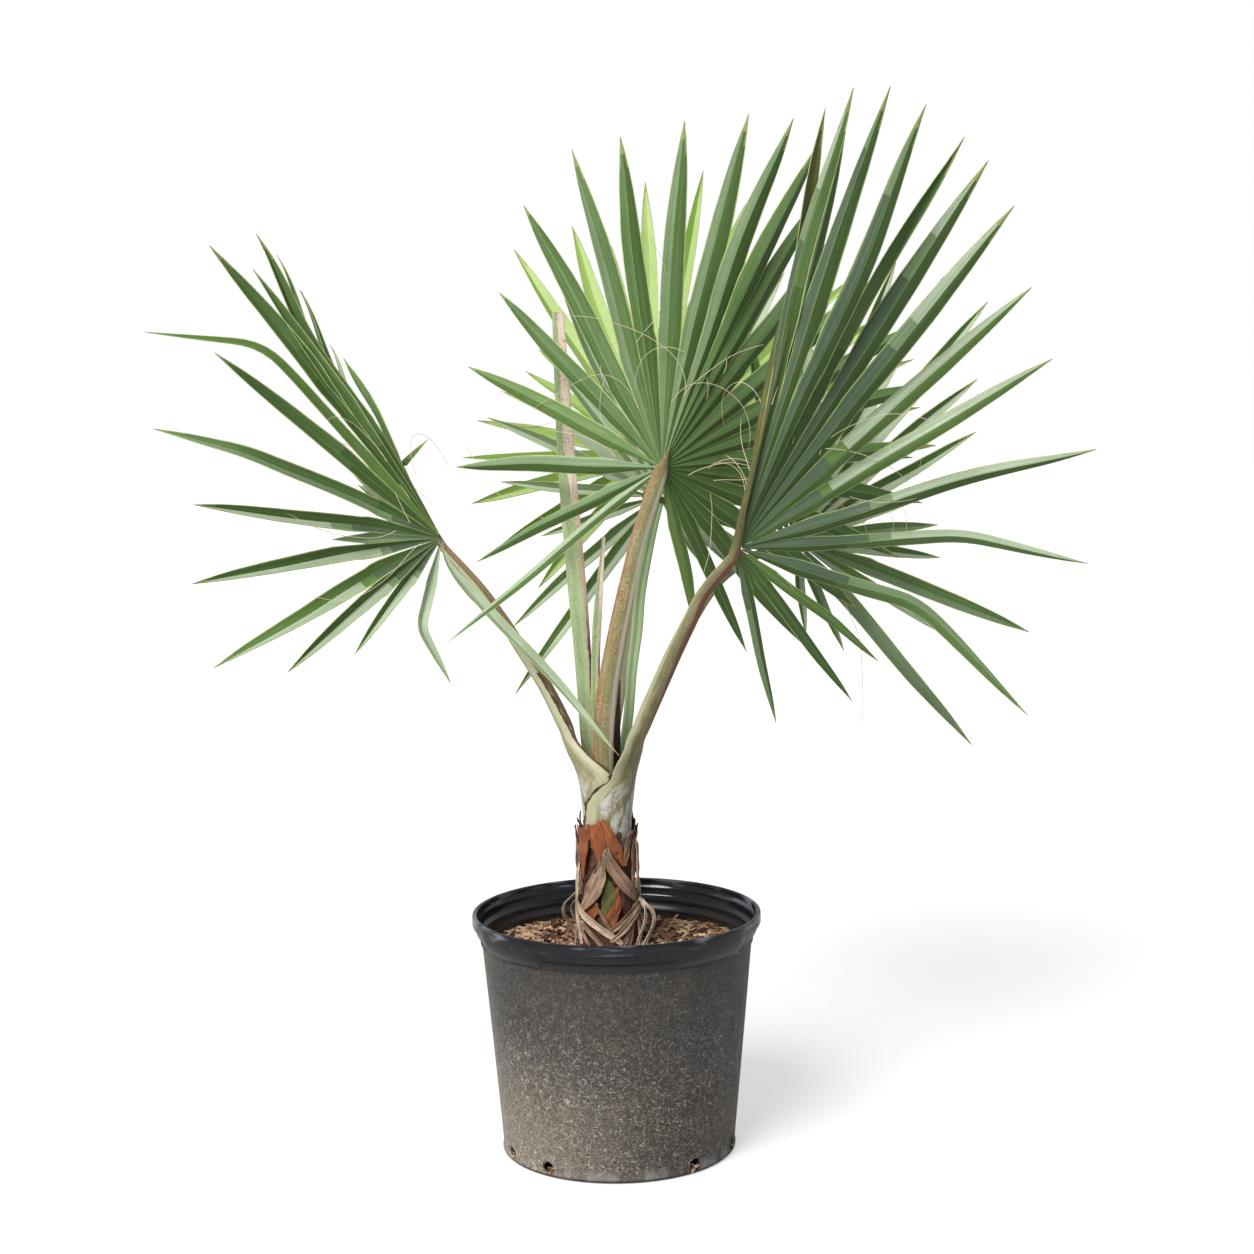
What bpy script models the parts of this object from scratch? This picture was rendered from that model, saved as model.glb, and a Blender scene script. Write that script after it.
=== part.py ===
"""Bismarck palm standing in a round nursery pot, as separate closed solids.

Metres, +Z up.  The origin is the centre of the pot's flat underside and the
pot's axis is the Z axis.  -Y is the plant's front.

Every fan leaf is built from one rule.  A leaf has a hub where the blade meets
its stalk, a rib direction C (azimuth and elevation), a roll about C and a
fold: the two halves of the blade rise from C by the fold angle, so the blade
is a shallow valley (or a ridge when the fold is negative).  The leaflets fan
out from the hub at angles counted from C, plus on the blade's S side.  They
are joined to each other up to a notch and run free to a needle tip beyond it.
"""
import math
import random

import bmesh
import bpy
import numpy as np
from mathutils import Vector

# ---------------------------------------------------------------- dimensions
CLEAR = 0.0003            # gap left between neighbouring solids

POT_HEIGHT = 0.379
RIM_RADIUS = 0.225
WALL_RADIUS_TOP = 0.2116
WALL_RADIUS_BASE = 0.181
WALL = 0.0036
POT_FLOOR = 0.0042
BAND_BOTTOM = 0.346       # where the plain wall meets the rim's steps
POT_STEPS = 56
DRAIN_RADIUS = 0.009
DRAIN_HEIGHT = 0.0150
DRAIN_ANGLES = (-64, -36, 39, 74)          # degrees from the front, repeated behind
GRIP_ANGLES = (-48, 42, 132, 222)
GRIP_SPAN = 39

SOIL_LEVEL = 0.322
SOIL_FLAT = 0.079         # level ring the plant stands on
SOIL_LUMP = 0.0045

TRUNK_FOOT = (-0.012, -0.004, SOIL_LEVEL + CLEAR)
TRUNK_TOP = (-0.0135, -0.001, 0.4950)
TRUNK_FOOT_RADIUS = 0.0445
TRUNK_TOP_RADIUS = 0.0365
CROWN_TOP = 0.5720

BOOT_THICK = 0.0034
BOOT_GAP = 0.0014
BOOT_STATIONS = (.012, .026, .044, .062, .080, .100, .120, .145)

LEAF_THICK = 0.0066
HUB_RADIUS = 0.014
WEB_RADIUS = 0.026        # the blade is always one sheet inside this radius
LEAFLET_WIDTH = 0.041
PLEAT = 0.25              # depth of a leaflet's valley over its width
WIDEST_WEB = 28           # degrees between leaflets that still share a web
FREE_STATIONS = (0.25, 0.65)
TAPER = 1.6
FOLD_EASE = 14            # degrees either side of the rib over which the fold is rounded
HUB_THIN, WEB_THIN = .45, .68

# Each key is (leaflet number, angle from the rib, reach); leaflets between
# two keys are spaced evenly.  A bend is (share of the reach, new direction), and
# curl is extra fold on the plus side's outer leaflets.  Seat sets how close the
# stalk's rib lies under the blade.
FRONDS = {
    "left": dict(
        hub=(-0.261, 0.000, 0.967), azimuth=-169.8, elevation=60.6, roll=35,
        fold=-25, curl=-22, droop=0.10, rib=0.16, seat=.0040,
        keys=((0, 84, .26), (2, 66, .30), (3, 61, .36), (5, 34, .405), (7, 16.7, .545),
              (8, 12, .46), (9, 7, .45), (10, 2.2, .563), (11, -4, .515), (12, -7.6, .587),
              (13, -13, .57), (14, -20.4, .461), (15, -35.6, .48), (16, -51.3, .414),
              (17, -60, .19), (18, -67, .426), (19, -83.4, .435), (20, -93.8, .34),
              (21, -105.2, .24), (22, -130, .24), (23, -152, .44)),
        bends={13: (.72, (-.99, .0, .13)),
               15: (.72, (-.97, .0, .22)), 22: (.62, (.42, -.10, -.85)),
               23: (.25, (.72, -.36, -.60))}),
    "front": dict(
        hub=(0.077, -0.120, 1.077), azimuth=-26.2, elevation=66.8, roll=64,
        fold=25, droop=0.08, rib=0.12, seat=-.0006,
        keys=((0, 148, .43), (1, 137, .347), (2, 112, .348), (3, 86.6, .361),
              (4, 67.4, .382), (5, 51.7, .464), (6, 39, .509), (7, 29.9, .508),
              (8, 18.4, .525), (9, 7.5, .549), (10, 1, .562), (11, -4, .545),
              (12, -8.8, .486), (13, -17, .45), (15, -44, .46),
              (17, -70, .46), (19, -94, .45), (21, -121, .42), (22, -134, .351),
              (23, -146, .27)),
        bends={0: (.29, (-.72, -.40, -.56))}),
    "right": dict(
        hub=(0.176, -0.360, 0.977), azimuth=-58.3, elevation=66.3, roll=75,
        fold=55, droop=0.06, rib=0.34, seat=.0,
        keys=((0, 126, .17), (4, 78, .27), (8, 36, .43), (11, 13.5, .60),
              (12, 7, .63), (13, .6, .677), (14, -3.4, .697), (15, -7.3, .688),
              (16, -13.4, .657), (17, -17.7, .642), (18, -24, .609), (19, -34.4, .541),
              (20, -46.3, .505), (21, -64, .521), (22, -79, .503), (23, -101, .510),
              (24, -121, .288), (25, -134, .312), (26, -155.6, .291)),
        bends={22: (.66, (.976, .0, -.217)), 23: (.57, (.71, .0, -.70))}),
    "back": dict(
        hub=(0.067, 0.360, 1.072), azimuth=90, elevation=50, roll=0,
        fold=10, droop=0.05, rib=0.18, seat=-.0007,
        keys=((0, 150, .36), (5, 84, .46), (8, 46, .52), (9, 30.7, .547),
              (10, 17.8, .598), (11, 9, .69), (12, 0, .664), (13, -14.6, .542),
              (14, -28.1, .512), (15, -42, .29), (16, -53, .27), (17, -66, .28),
              (19, -96, .32), (22, -146, .34)),
        bends={}),
    "middle": dict(
        hub=(0.077, 0.180, 1.015), azimuth=90, elevation=70, roll=0,
        fold=3, droop=0.10, rib=0.14, seat=-.0012,
        keys=((0, 148, .20), (2, 122, .18), (4, 94, .24), (6, 66, .36),
              (8, 40, .44), (11, 4, .48), (13, -22, .44), (14, -35, .34), (15, -49, .27),
              (16, -62.6, .311),
              (17, -83, .258), (18, -108, .20), (19, -131, .312), (20, -143, .387)),
        bends={}),
    "back_right": dict(
        hub=(0.293, 0.140, 0.945), azimuth=17.2, elevation=28.9, roll=-80,
        fold=8, droop=0.10, rib=0.16, seat=-.0015,
        keys=((0, 117, .15), (1, 99, .19), (2, 80.4, .419), (3, 63, .278), (4, 51, .405),
              (5, 37, .24), (6, 24, .24), (7, 10, .31), (9, -11, .42),
              (10, -21, .529), (12, -40, .50), (14, -73, .36), (17, -132, .28)),
        bends={}),
}

# Stalks: points from the crown up, then (width, thickness) at the foot, in the
# middle and at the hub, and the direction the foot's hollow side faces.
STALKS = {
    "left": dict(
        points=((-.0365, -.004, .5723), (-.0480, -.006, .606), (-.076, -.008, .686),
                (-.143, -.006, .805), (-.204, -.002, .897)),
        sizes=((.030, .022), (.034, .022), (.017, .011)), faces=(1, .1, .2)),
    "front": dict(
        points=((-.0125, -.021, .5723), (-.0145, -.028, .615), (-.0095, -.045, .734),
                (.0147, -.070, .860), (.0427, -.095, .975)),
        sizes=((.024, .019), (.031, .018), (.019, .012)), faces=(0, 1, .2)),
    "right": dict(
        points=((.0145, -.014, .5723), (.0215, -.035, .610), (.0485, -.090, .700),
                (.0918, -.170, .8085), (.1345, -.260, .907)),
        sizes=((.028, .022), (.034, .020), (.016, .011)), faces=(-.6, .7, .2)),
    "back": dict(
        points=((-.0115, .024, .5723), (-.0095, .040, .610), (.010, .090, .730),
                (.033, .160, .850), (.051, .240, .957)),
        sizes=((.022, .014), (.024, .014), (.014, .010)), faces=(0, -1, .2)),
    "middle": dict(
        points=((.0045, .007, .5723), (.0103, .014, .615), (.0293, .050, .751),
                (.0450, .100, .872), (.0635, .145, .956)),
        sizes=((.013, .012), (.018, .012), (.013, .009)), faces=(0, -1, .2)),
    "back_right": dict(
        points=((.0115, .024, .5723), (.0215, .030, .610), (.055, .050, .696),
                (.109, .075, .798), (.168, .100, .884), (.231, .120, .924)),
        sizes=((.014, .013), (.018, .013), (.013, .009)), faces=(-.5, -.8, .2)),
}
SPEAR_POINTS = ((-.0155, .003, .5723), (-.0285, .008, .606), (-.0400, .0130, .647),
                (-.046, .020, .804), (-.060, .027, 1.052), (-.074, .030, 1.310))
SPEAR_SIZES = ((.011, .008), (.023, .008), (.022, .007), (.015, .006), (.003, .003))
SPIKE_POINTS = ((-.0260, -.0075, .5723), (-.0275, -.008, .651), (-.022, -.004, .806),
                (-.008, .0, .966))
SPIKE_SIZES = ((.005, .006), (.010, .006), (.009, .005), (.002, .002))

LEAF_GREEN = (0.16, 0.29, 0.15)
COLLECTION = "bismarck_palm_in_pot"


# ---------------------------------------------------------------- scene setup
def clear_scene():
    for item in list(bpy.data.objects):
        bpy.data.objects.remove(item, do_unlink=True)


def make_collection(name, hidden=False):
    group = bpy.data.collections.new(name)
    bpy.context.scene.collection.children.link(group)
    group.hide_render = hidden
    return group


def plain_material(name, colour, roughness):
    mat = bpy.data.materials.new(name)
    mat.use_nodes = True
    shader = mat.node_tree.nodes["Principled BSDF"]
    shader.inputs["Base Color"].default_value = (*colour, 1.0)
    shader.inputs["Roughness"].default_value = roughness
    shader.inputs["Metallic"].default_value = 0.0
    return mat


def add_object(name, bm, colour, roughness=0.6, smooth=True, group=None):
    bmesh.ops.recalc_face_normals(bm, faces=bm.faces)
    mesh = bpy.data.meshes.new(name)
    bm.to_mesh(mesh)
    bm.free()
    item = bpy.data.objects.new(name, mesh)
    (group or PARTS).objects.link(item)
    mesh.materials.append(plain_material(name, colour, roughness))
    if smooth:
        mesh.shade_smooth()
        mesh.set_sharp_from_angle(angle=math.radians(38))
    return item


# ---------------------------------------------------------------- small shapes
def spline(points, count):
    """Catmull-Rom curve through the points, sampled evenly by point number."""
    pts = [Vector(p) for p in points]
    pts = [pts[0] * 2 - pts[1]] + pts + [pts[-1] * 2 - pts[-2]]
    out = []
    for k in range(count):
        s = k * (len(pts) - 3) / (count - 1)
        i = min(int(s), len(pts) - 4)
        t = s - i
        a, b, c, d = pts[i:i + 4]
        out.append(0.5 * (2 * b + (c - a) * t + (2 * a - 5 * b + 4 * c - d) * t ** 2
                          + (3 * b - a - 3 * c + d) * t ** 3))
    return out


def blend(values, count):
    """Rows of numbers spread evenly over count stations."""
    rows = np.array(values, float)
    at = np.linspace(0, len(rows) - 1, count)
    return [[float(np.interp(t, range(len(rows)), rows[:, k])) for k in range(rows.shape[1])]
            for t in at]


def loft(rings):
    """Closed solid through rings of equally many points, with flat ends."""
    bm = bmesh.new()
    rows = [[bm.verts.new(p) for p in ring] for ring in rings]
    for low, high in zip(rows, rows[1:]):
        for k in range(len(low)):
            j = (k + 1) % len(low)
            bm.faces.new((low[k], low[j], high[j], high[k]))
    bm.faces.new(rows[0])
    bm.faces.new(rows[-1])
    return bm


def turned(name, profile, steps, colour, roughness=0.6):
    """Solid turned from a profile that runs from the axis round to the axis."""
    mesh = bpy.data.meshes.new(name)
    mesh.from_pydata([(r, 0, z) for r, z in profile],
                     [(k, k + 1) for k in range(len(profile) - 1)], [])
    item = bpy.data.objects.new(name, mesh)
    PARTS.objects.link(item)
    mesh.materials.append(plain_material(name, colour, roughness))
    screw = item.modifiers.new("turn", "SCREW")
    screw.steps = steps
    screw.render_steps = steps
    screw.use_merge_vertices = True
    screw.merge_threshold = 0.00005
    screw.use_normal_calculate = True
    return item


def bake(item):
    """Turn an object's modifiers into plain mesh."""
    graph = bpy.context.evaluated_depsgraph_get()
    mesh = bpy.data.meshes.new_from_object(item.evaluated_get(graph))
    item.modifiers.clear()
    item.data = mesh
    return item


def solid_boolean(item, tool, operation):
    cut = item.modifiers.new(tool.name, "BOOLEAN")
    cut.object = tool
    cut.operation = operation
    cut.solver = "EXACT"
    bake(item)


# ---------------------------------------------------------------- pot and soil
def wall_radius(z):
    return WALL_RADIUS_BASE + (WALL_RADIUS_TOP - WALL_RADIUS_BASE) * z / BAND_BOTTOM


def pot_profile():
    def inner(z, ridge=0.0):
        return wall_radius(z) - WALL - ridge, z

    inside = [(0, POT_FLOOR), inner(POT_FLOOR), inner(.3280), inner(.3295, .0018),
              inner(.3330, .0018), inner(.3345), inner(.3425), inner(.3440, .0018)]
    steps = [(.2066, .3475), (.2146, .3535), (.2146, .3640), (.2172, .3680),
             (.2172, POT_HEIGHT - .002)]
    rim = [(.2190, POT_HEIGHT), (RIM_RADIUS - .0018, POT_HEIGHT), (RIM_RADIUS, POT_HEIGHT - .0025),
           (RIM_RADIUS, .3620), (.2190, .3585), (.2190, .3500), (WALL_RADIUS_TOP, BAND_BOTTOM)]
    foot = [(WALL_RADIUS_BASE + .0005, .006), (WALL_RADIUS_BASE - .0015, 0), (0, 0)]
    return inside + steps + rim + foot


def drain_cutter(k, angle):
    a = math.radians(angle)
    bm = bmesh.new()
    bmesh.ops.create_cone(bm, cap_ends=True, segments=12, radius1=DRAIN_RADIUS,
                          radius2=DRAIN_RADIUS, depth=0.04)
    item = add_object(f"drain_cutter_{k}", bm, (.5, .5, .5), group=CUTTERS)
    item.rotation_euler = (math.pi / 2, 0, a)
    item.location = (.181 * math.sin(a), -.181 * math.cos(a), DRAIN_HEIGHT)
    item.display_type = "WIRE"
    return item


def grip_block(k, angle):
    """A smooth hand hold under the rim: a block swept round part of the wall."""
    bm = bmesh.new()
    profile = ((.2068, .3120), (.2100, .3135), (.2155, .3260), (.2178, .3400),
               (.2178, .3545), (.2165, .3545), (.2100, .3440), (.2085, .3300))
    start = math.radians(angle - GRIP_SPAN / 2)
    ring = [(r * math.sin(start), -r * math.cos(start), z) for r, z in profile]
    face = bm.faces.new([bm.verts.new(p) for p in ring])
    bmesh.ops.spin(bm, geom=[face, *face.edges, *face.verts], cent=(0, 0, 0), axis=(0, 0, 1),
                   angle=math.radians(GRIP_SPAN), steps=6)
    item = add_object(f"grip_block_{k}", bm, (.5, .5, .5), group=CUTTERS)
    item.display_type = "WIRE"
    return item


def build_pot():
    pot = bake(turned("pot", pot_profile(), POT_STEPS, (.05, .048, .045), .5))
    bpy.context.view_layer.update()
    for k, angle in enumerate(GRIP_ANGLES):
        solid_boolean(pot, grip_block(k, angle + .37), "UNION")
    angles = [*DRAIN_ANGLES, *(a + 180 for a in DRAIN_ANGLES)]
    for k, angle in enumerate(angles):
        cutter = drain_cutter(k, angle)
        bpy.context.view_layer.update()
        solid_boolean(pot, cutter, "DIFFERENCE")
    pot.data.shade_smooth()
    pot.data.set_sharp_from_angle(angle=math.radians(35))
    return pot


def build_soil():
    rng = random.Random(4)
    edge = wall_radius(.3165) - WALL - CLEAR
    profile = [(0, SOIL_LEVEL), (SOIL_FLAT * .5, SOIL_LEVEL), (SOIL_FLAT, SOIL_LEVEL),
               (.105, .3215), (.140, .3195), (.172, .3180), (edge, .3165),
               (wall_radius(POT_FLOOR) - WALL - CLEAR, POT_FLOOR + CLEAR),
               (0, POT_FLOOR + CLEAR)]
    soil = bake(turned("bark_mulch", profile, POT_STEPS, (.20, .12, .07), .9))
    for v in soil.data.vertices:
        r = math.hypot(v.co.x, v.co.y)
        if v.co.z > .3 and SOIL_FLAT + .01 < r < edge - .01:
            v.co.z += rng.uniform(-1, .55) * SOIL_LUMP
    soil.data.shade_smooth()
    return soil


# ---------------------------------------------------------------- trunk and sheaths
def round_ring(centre, rx, ry, count=16):
    return [Vector((centre[0] + rx * math.cos(2 * math.pi * k / count),
                    centre[1] + ry * math.sin(2 * math.pi * k / count), centre[2]))
            for k in range(count)]


def build_trunk():
    foot, top = Vector(TRUNK_FOOT), Vector(TRUNK_TOP)
    rings = []
    for t, flare in ((0, 1), (.10, .35), (.30, .1), (.65, 0), (1, 0)):
        r = TRUNK_TOP_RADIUS + (TRUNK_FOOT_RADIUS - TRUNK_TOP_RADIUS) * ((1 - t) * .5 + flare * .5)
        rings.append(round_ring(foot.lerp(top, t), r, r * .97))
    return add_object("trunk", loft(rings), (.26, .17, .10), .85)


def build_crown():
    """The tight cone of living leaf bases above the trunk, where all stalks start."""
    x, y = TRUNK_TOP[:2]
    rings = [round_ring((x, y, TRUNK_TOP[2] + CLEAR), .0350, .0340),
             round_ring((x, y, .520), .0362, .0350),
             round_ring((x + .0005, y + .002, .548), .0385, .0365),
             round_ring((x + .001, y + .003, CROWN_TOP), .0425, .0385)]
    return add_object("crown_sheath", loft(rings), (.42, .40, .26), .7)


def boot(name, turn, span, z0, z1, layer, lean, colour, tip=.22):
    """One dry leaf base: a curved plate hugging the trunk, torn to a point at its top.

    turn is its middle in degrees from the front, span its width round the
    trunk, layer its place outward and lean how far its top is carried round.
    """
    foot, top = Vector(TRUNK_FOOT), Vector(TRUNK_TOP)
    heights = [h for h in BOOT_STATIONS if z0 < foot.z + h < z1 - .012]
    heights = [z0, *(foot.z + h for h in heights), z1]
    stations = len(heights) - 1
    columns = 4
    inner = TRUNK_FOOT_RADIUS + .0012 + layer * (BOOT_THICK + BOOT_GAP)
    bm = bmesh.new()
    rows = []
    for i in range(stations + 1):
        z = heights[i]
        t = (z - z0) / (z1 - z0)
        mid = foot.lerp(top, (z - foot.z) / (top.z - foot.z))
        width = span * (1 - (1 - tip) * t ** 1.5)
        r_in = inner - .0045 * min(1, (z - foot.z) / .1)
        if layer:
            r_in += .009 * max(0, 1 - (z - foot.z) / .045) ** 2
        row = []
        for j in range(columns + 1):
            a = math.radians(turn + lean * t + width * (j / columns - .5))
            side = Vector((math.sin(a), -math.cos(a), 0))
            row.append([bm.verts.new(Vector((mid.x, mid.y, z)) + side * (r_in + d))
                        for d in (0, BOOT_THICK)])
        rows.append(row)
    for i in range(stations):
        for j in range(columns):
            for side in (0, 1):
                bm.faces.new((rows[i][j][side], rows[i][j + 1][side],
                              rows[i + 1][j + 1][side], rows[i + 1][j][side]))
    for i in range(stations):
        for j in (0, columns):
            bm.faces.new((rows[i][j][0], rows[i + 1][j][0], rows[i + 1][j][1], rows[i][j][1]))
    for j in range(columns):
        for i in (0, stations):
            bm.faces.new((rows[i][j][0], rows[i][j + 1][0], rows[i][j + 1][1], rows[i][j][1]))
    return add_object(name, bm, colour, .85)


def build_boots():
    grey, rust = (.36, .29, .22), (.30, .11, .05)
    low = SOIL_LEVEL + CLEAR
    for k, turn in enumerate((-28, 62, 152, 242)):
        boot(f"leaf_base_inner_{k + 1}", turn, 78, low + .050, .515 + .008 * (k % 2), 0, 4, rust, .30)
    for k, turn in enumerate((8, 98, 188, 278)):
        boot(f"leaf_base_outer_{k + 1}", turn, 80, low, .452 + .010 * (k % 2), 1, -26, grey, .25)
    for k, turn in enumerate((-42, 48, 138, 228)):
        boot(f"dry_strip_{k + 1}", turn, 46, low, .408 + .012 * (k % 2), 2, 44, grey, .30)


# ---------------------------------------------------------------- stalks
def unit(v):
    return v / v.length


def frame_of(frond):
    """C along the rib, S to the blade's plus side, N out of its upper face."""
    a, e, r = (math.radians(frond[k]) for k in ("azimuth", "elevation", "roll"))
    along = Vector((math.cos(a) * math.cos(e), math.sin(a) * math.cos(e), math.sin(e)))
    level = unit(along.cross(Vector((0, 0, 1))))
    up = level.cross(along)
    return (along, level * math.cos(r) + up * math.sin(r),
            up * math.cos(r) - level * math.sin(r))


def stalk_ring(centre, along, hollow, width, thick):
    """Half-moon section: flat on its hollow side, round on the other."""
    across = unit(along.cross(hollow))
    face = unit(across.cross(along))
    ring = []
    for k in range(10):
        a = 2 * math.pi * k / 10
        rise = thick * (.35 if math.sin(a) > 0 else .65) * math.sin(a)
        ring.append(centre + across * (math.cos(a) * width / 2) + face * rise)
    return ring


def rib_drop(frond, s, thick):
    """How far the rib's middle lies under the blade's own surface."""
    near = sorted(abs(a) for a in leaflets(frond)[0])[1]
    return (LEAF_THICK * .58 + PLEAT * s * math.radians(near) * 1.3 + thick * .35
            + frond["seat"])


def build_stalk(name):
    frond, spec = FRONDS[name], STALKS[name]
    along, _, normal = frame_of(frond)
    hub = Vector(frond["hub"])
    sizes = list(spec["sizes"])
    points = [Vector(p) for p in spec["points"]]
    hollow_foot = Vector(spec["faces"])
    count = 11
    tip_w, tip_t = sizes[-1]
    lead = hub - along * .030 - normal * rib_drop(frond, 0, tip_t)
    path = spline([*points, lead], count)
    widths = blend(sizes, count)
    rings = []
    for k in range(count):
        ahead = path[min(k + 1, count - 1)] - path[max(k - 1, 0)]
        if k == count - 1:
            ahead = ahead * .5 + along * ahead.length * .5
        t = k / (count - 1)
        hollow = unit(hollow_foot).lerp(normal, t ** 1.3)
        rings.append(stalk_ring(path[k], unit(ahead), hollow, *widths[k]))
    rings[0] = [Vector((p.x, p.y, points[0].z)) for p in rings[0]]
    for share in (.12, .45, 1):
        s = frond["rib"] * share
        width = tip_w * (1 - .82 * share)
        thick = tip_t * (1 - .80 * share)
        centre = (hub + along * s - normal * rib_drop(frond, s, thick)
                  - Vector((0, 0, frond["droop"] * s * s)))
        rings.append(stalk_ring(centre, along, normal, width, thick))
    return add_object(f"stalk_{name}", loft(rings), (.38, .38, .22), .65)


def build_taper(name, points, sizes, count, colour, hollow=(0, -1, 0)):
    """A narrow folded leaf with no stalk of its own."""
    path = spline(points, count)
    rings = []
    for k, (width, thick) in enumerate(blend(sizes, count)):
        ahead = path[min(k + 1, count - 1)] - path[max(k - 1, 0)]
        rings.append(stalk_ring(path[k], unit(ahead), Vector(hollow), width, thick))
    rings[0] = [Vector((p.x, p.y, points[0][2])) for p in rings[0]]
    return add_object(name, loft(rings), colour, .6)


# ---------------------------------------------------------------- fan blades
def leaflets(frond):
    """Every leaflet's angle from the rib and its reach."""
    number, angle, reach = zip(*frond["keys"])
    each = range(number[-1] + 1)
    return ([float(a) for a in np.interp(each, number, angle)],
            [float(r) for r in np.interp(each, number, reach)])


def ray(frond, angle):
    """Unit direction of the blade's surface at an angle from the rib."""
    along, side, normal = frame_of(frond)
    fold = frond["fold"] * min(1, abs(angle) / FOLD_EASE)
    fold += frond.get("curl", 0) * min(1, max(0, (angle - 25) / 35))
    a, f = math.radians(angle), math.radians(fold)
    return (along * math.cos(a) + abs(math.sin(a))
            * (side * math.copysign(math.cos(f), a) + normal * math.sin(f)))


def surface_point(frond, angle, r):
    return (Vector(frond["hub"]) + ray(frond, angle) * r
            - Vector((0, 0, frond["droop"] * r * r)))


def across_at(frond, angle):
    """Direction over the blade toward larger angles, and the upper face's normal."""
    step = unit(ray(frond, angle + .5) - ray(frond, angle - .5))
    normal = unit(step.cross(ray(frond, angle)))
    if normal.dot(frame_of(frond)[2]) < 0:
        normal = -normal
    return step, normal


def leaflet_middle(frond, angle, reach, bend, r):
    """Point of a leaflet's middle line and the direction it runs there."""
    if bend and r > bend[0] * reach:
        at = bend[0] * reach
        run = unit(Vector(bend[1]))
        return surface_point(frond, angle, at) + run * (r - at), run
    ahead = surface_point(frond, angle, r + .002) - surface_point(frond, angle, r)
    return surface_point(frond, angle, r), unit(ahead)


def blade_sheet(frond):
    """Open pleated sheet: a web near the hub, free leaflets beyond the notches."""
    angles, reaches = leaflets(frond)
    n = len(angles)
    gaps = [angles[i] - angles[i + 1] for i in range(n - 1)]
    outer = [min(gaps[0], 13), *gaps, min(gaps[-1], 13)]
    edges = ([angles[0] + outer[0] / 2] + [(angles[i] + angles[i + 1]) / 2 for i in range(n - 1)]
             + [angles[-1] - outer[-1] / 2])
    notch = []
    for i in range(n):
        spread = math.radians((outer[i] + outer[i + 1]) / 2)
        notch.append(max(.28 * reaches[i], min(.52 * reaches[i], LEAFLET_WIDTH / spread)))
    bm = bmesh.new()

    def rim(angle, r):
        return bm.verts.new(surface_point(frond, angle, r))

    def valley(i, r, width):
        centre, _ = leaflet_middle(frond, angles[i], reaches[i], frond["bends"].get(i), r)
        _, normal = across_at(frond, angles[i])
        return bm.verts.new(centre - normal * PLEAT * width)

    inner = [[rim(e, r) for r in (HUB_RADIUS, WEB_RADIUS)] for e in edges]
    thin = {HUB_THIN: [pair[0] for pair in inner], WEB_THIN: [pair[1] for pair in inner]}
    shared = [None] * (n + 1)
    for j in range(1, n):
        if outer[j] <= WIDEST_WEB:
            shared[j] = rim(edges[j], min(notch[j - 1], notch[j]))
    for i in range(n):
        bend = frond["bends"].get(i)
        half = [min(LEAFLET_WIDTH / 2 * 1.1, notch[i] * math.radians(g) / 2)
                for g in (outer[i], outer[i + 1])]
        across, normal = across_at(frond, angles[i])
        left = [*inner[i], shared[i] or bm.verts.new(
            surface_point(frond, angles[i], notch[i]) + across * half[0] * .92)]
        right = [*inner[i + 1], shared[i + 1] or bm.verts.new(
            surface_point(frond, angles[i], notch[i]) - across * half[1] * .92)]
        middle = [valley(i, HUB_RADIUS, HUB_RADIUS * math.radians(outer[i])),
                  valley(i, WEB_RADIUS, WEB_RADIUS * math.radians(outer[i])),
                  valley(i, notch[i], sum(half))]
        thin[HUB_THIN].append(middle[0])
        thin[WEB_THIN].append(middle[1])
        for f in FREE_STATIONS:
            r = notch[i] + f * (reaches[i] - notch[i])
            centre, run = leaflet_middle(frond, angles[i], reaches[i], bend, r)
            side = unit(across - run * across.dot(run))
            up = unit(side.cross(run))
            if up.dot(normal) < 0:
                up = -up
            k = 1 - f ** TAPER
            left.append(bm.verts.new(centre + side * half[0] * k))
            right.append(bm.verts.new(centre - side * half[1] * k))
            middle.append(bm.verts.new(centre - up * PLEAT * sum(half) * k))
        tip = bm.verts.new(leaflet_middle(frond, angles[i], reaches[i], bend, reaches[i])[0])
        for a, b in ((left, middle), (middle, right)):
            for k in range(len(a) - 1):
                bm.faces.new((a[k], a[k + 1], b[k + 1], b[k]))
            bm.faces.new((a[-1], tip, b[-1]))
    bm.verts.index_update()
    return bm, {share: [v.index for v in verts] for share, verts in thin.items()}


def build_frond(name):
    bm, thin = blade_sheet(FRONDS[name])
    item = add_object(f"frond_{name}", bm, LEAF_GREEN, .55, smooth=False)
    group = item.vertex_groups.new(name="full")
    group.add(list(range(len(item.data.vertices))), 1.0, "REPLACE")
    for share, which in thin.items():
        group.add(which, share, "REPLACE")
    sheet = item.modifiers.new("thickness", "SOLIDIFY")
    sheet.thickness = LEAF_THICK
    sheet.offset = 0
    sheet.vertex_group = group.name
    return item


# ---------------------------------------------------------------- the plant
clear_scene()
PARTS = make_collection(COLLECTION)
CUTTERS = make_collection("cutters", hidden=True)
build_pot()
build_soil()
build_trunk()
build_boots()
build_crown()
for stalk in STALKS:
    build_stalk(stalk)
build_taper("spear_leaf", SPEAR_POINTS, SPEAR_SIZES, 12, (.36, .42, .24))
build_taper("young_spike", SPIKE_POINTS, SPIKE_SIZES, 7, (.42, .42, .25))
for leaf in FRONDS:
    build_frond(leaf)
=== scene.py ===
# %% [markdown]
# # A potted fan palm
# This notebook dresses a finished set of solids: a round nursery pot, a short
# trunk wrapped in old leaf bases, six arching stalks and six fan leaves.  The
# solids stay as they are and carry every size.  What is made here is what the
# eye wants on top of them: creased leaflets with pale ribs, scurf on the
# stalks, torn dry sheaths, bark chips and weathered plastic.

# %% Load the solids
import math
import random

import bmesh
import bpy
import numpy as np
from mathutils import Matrix, Vector


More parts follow.
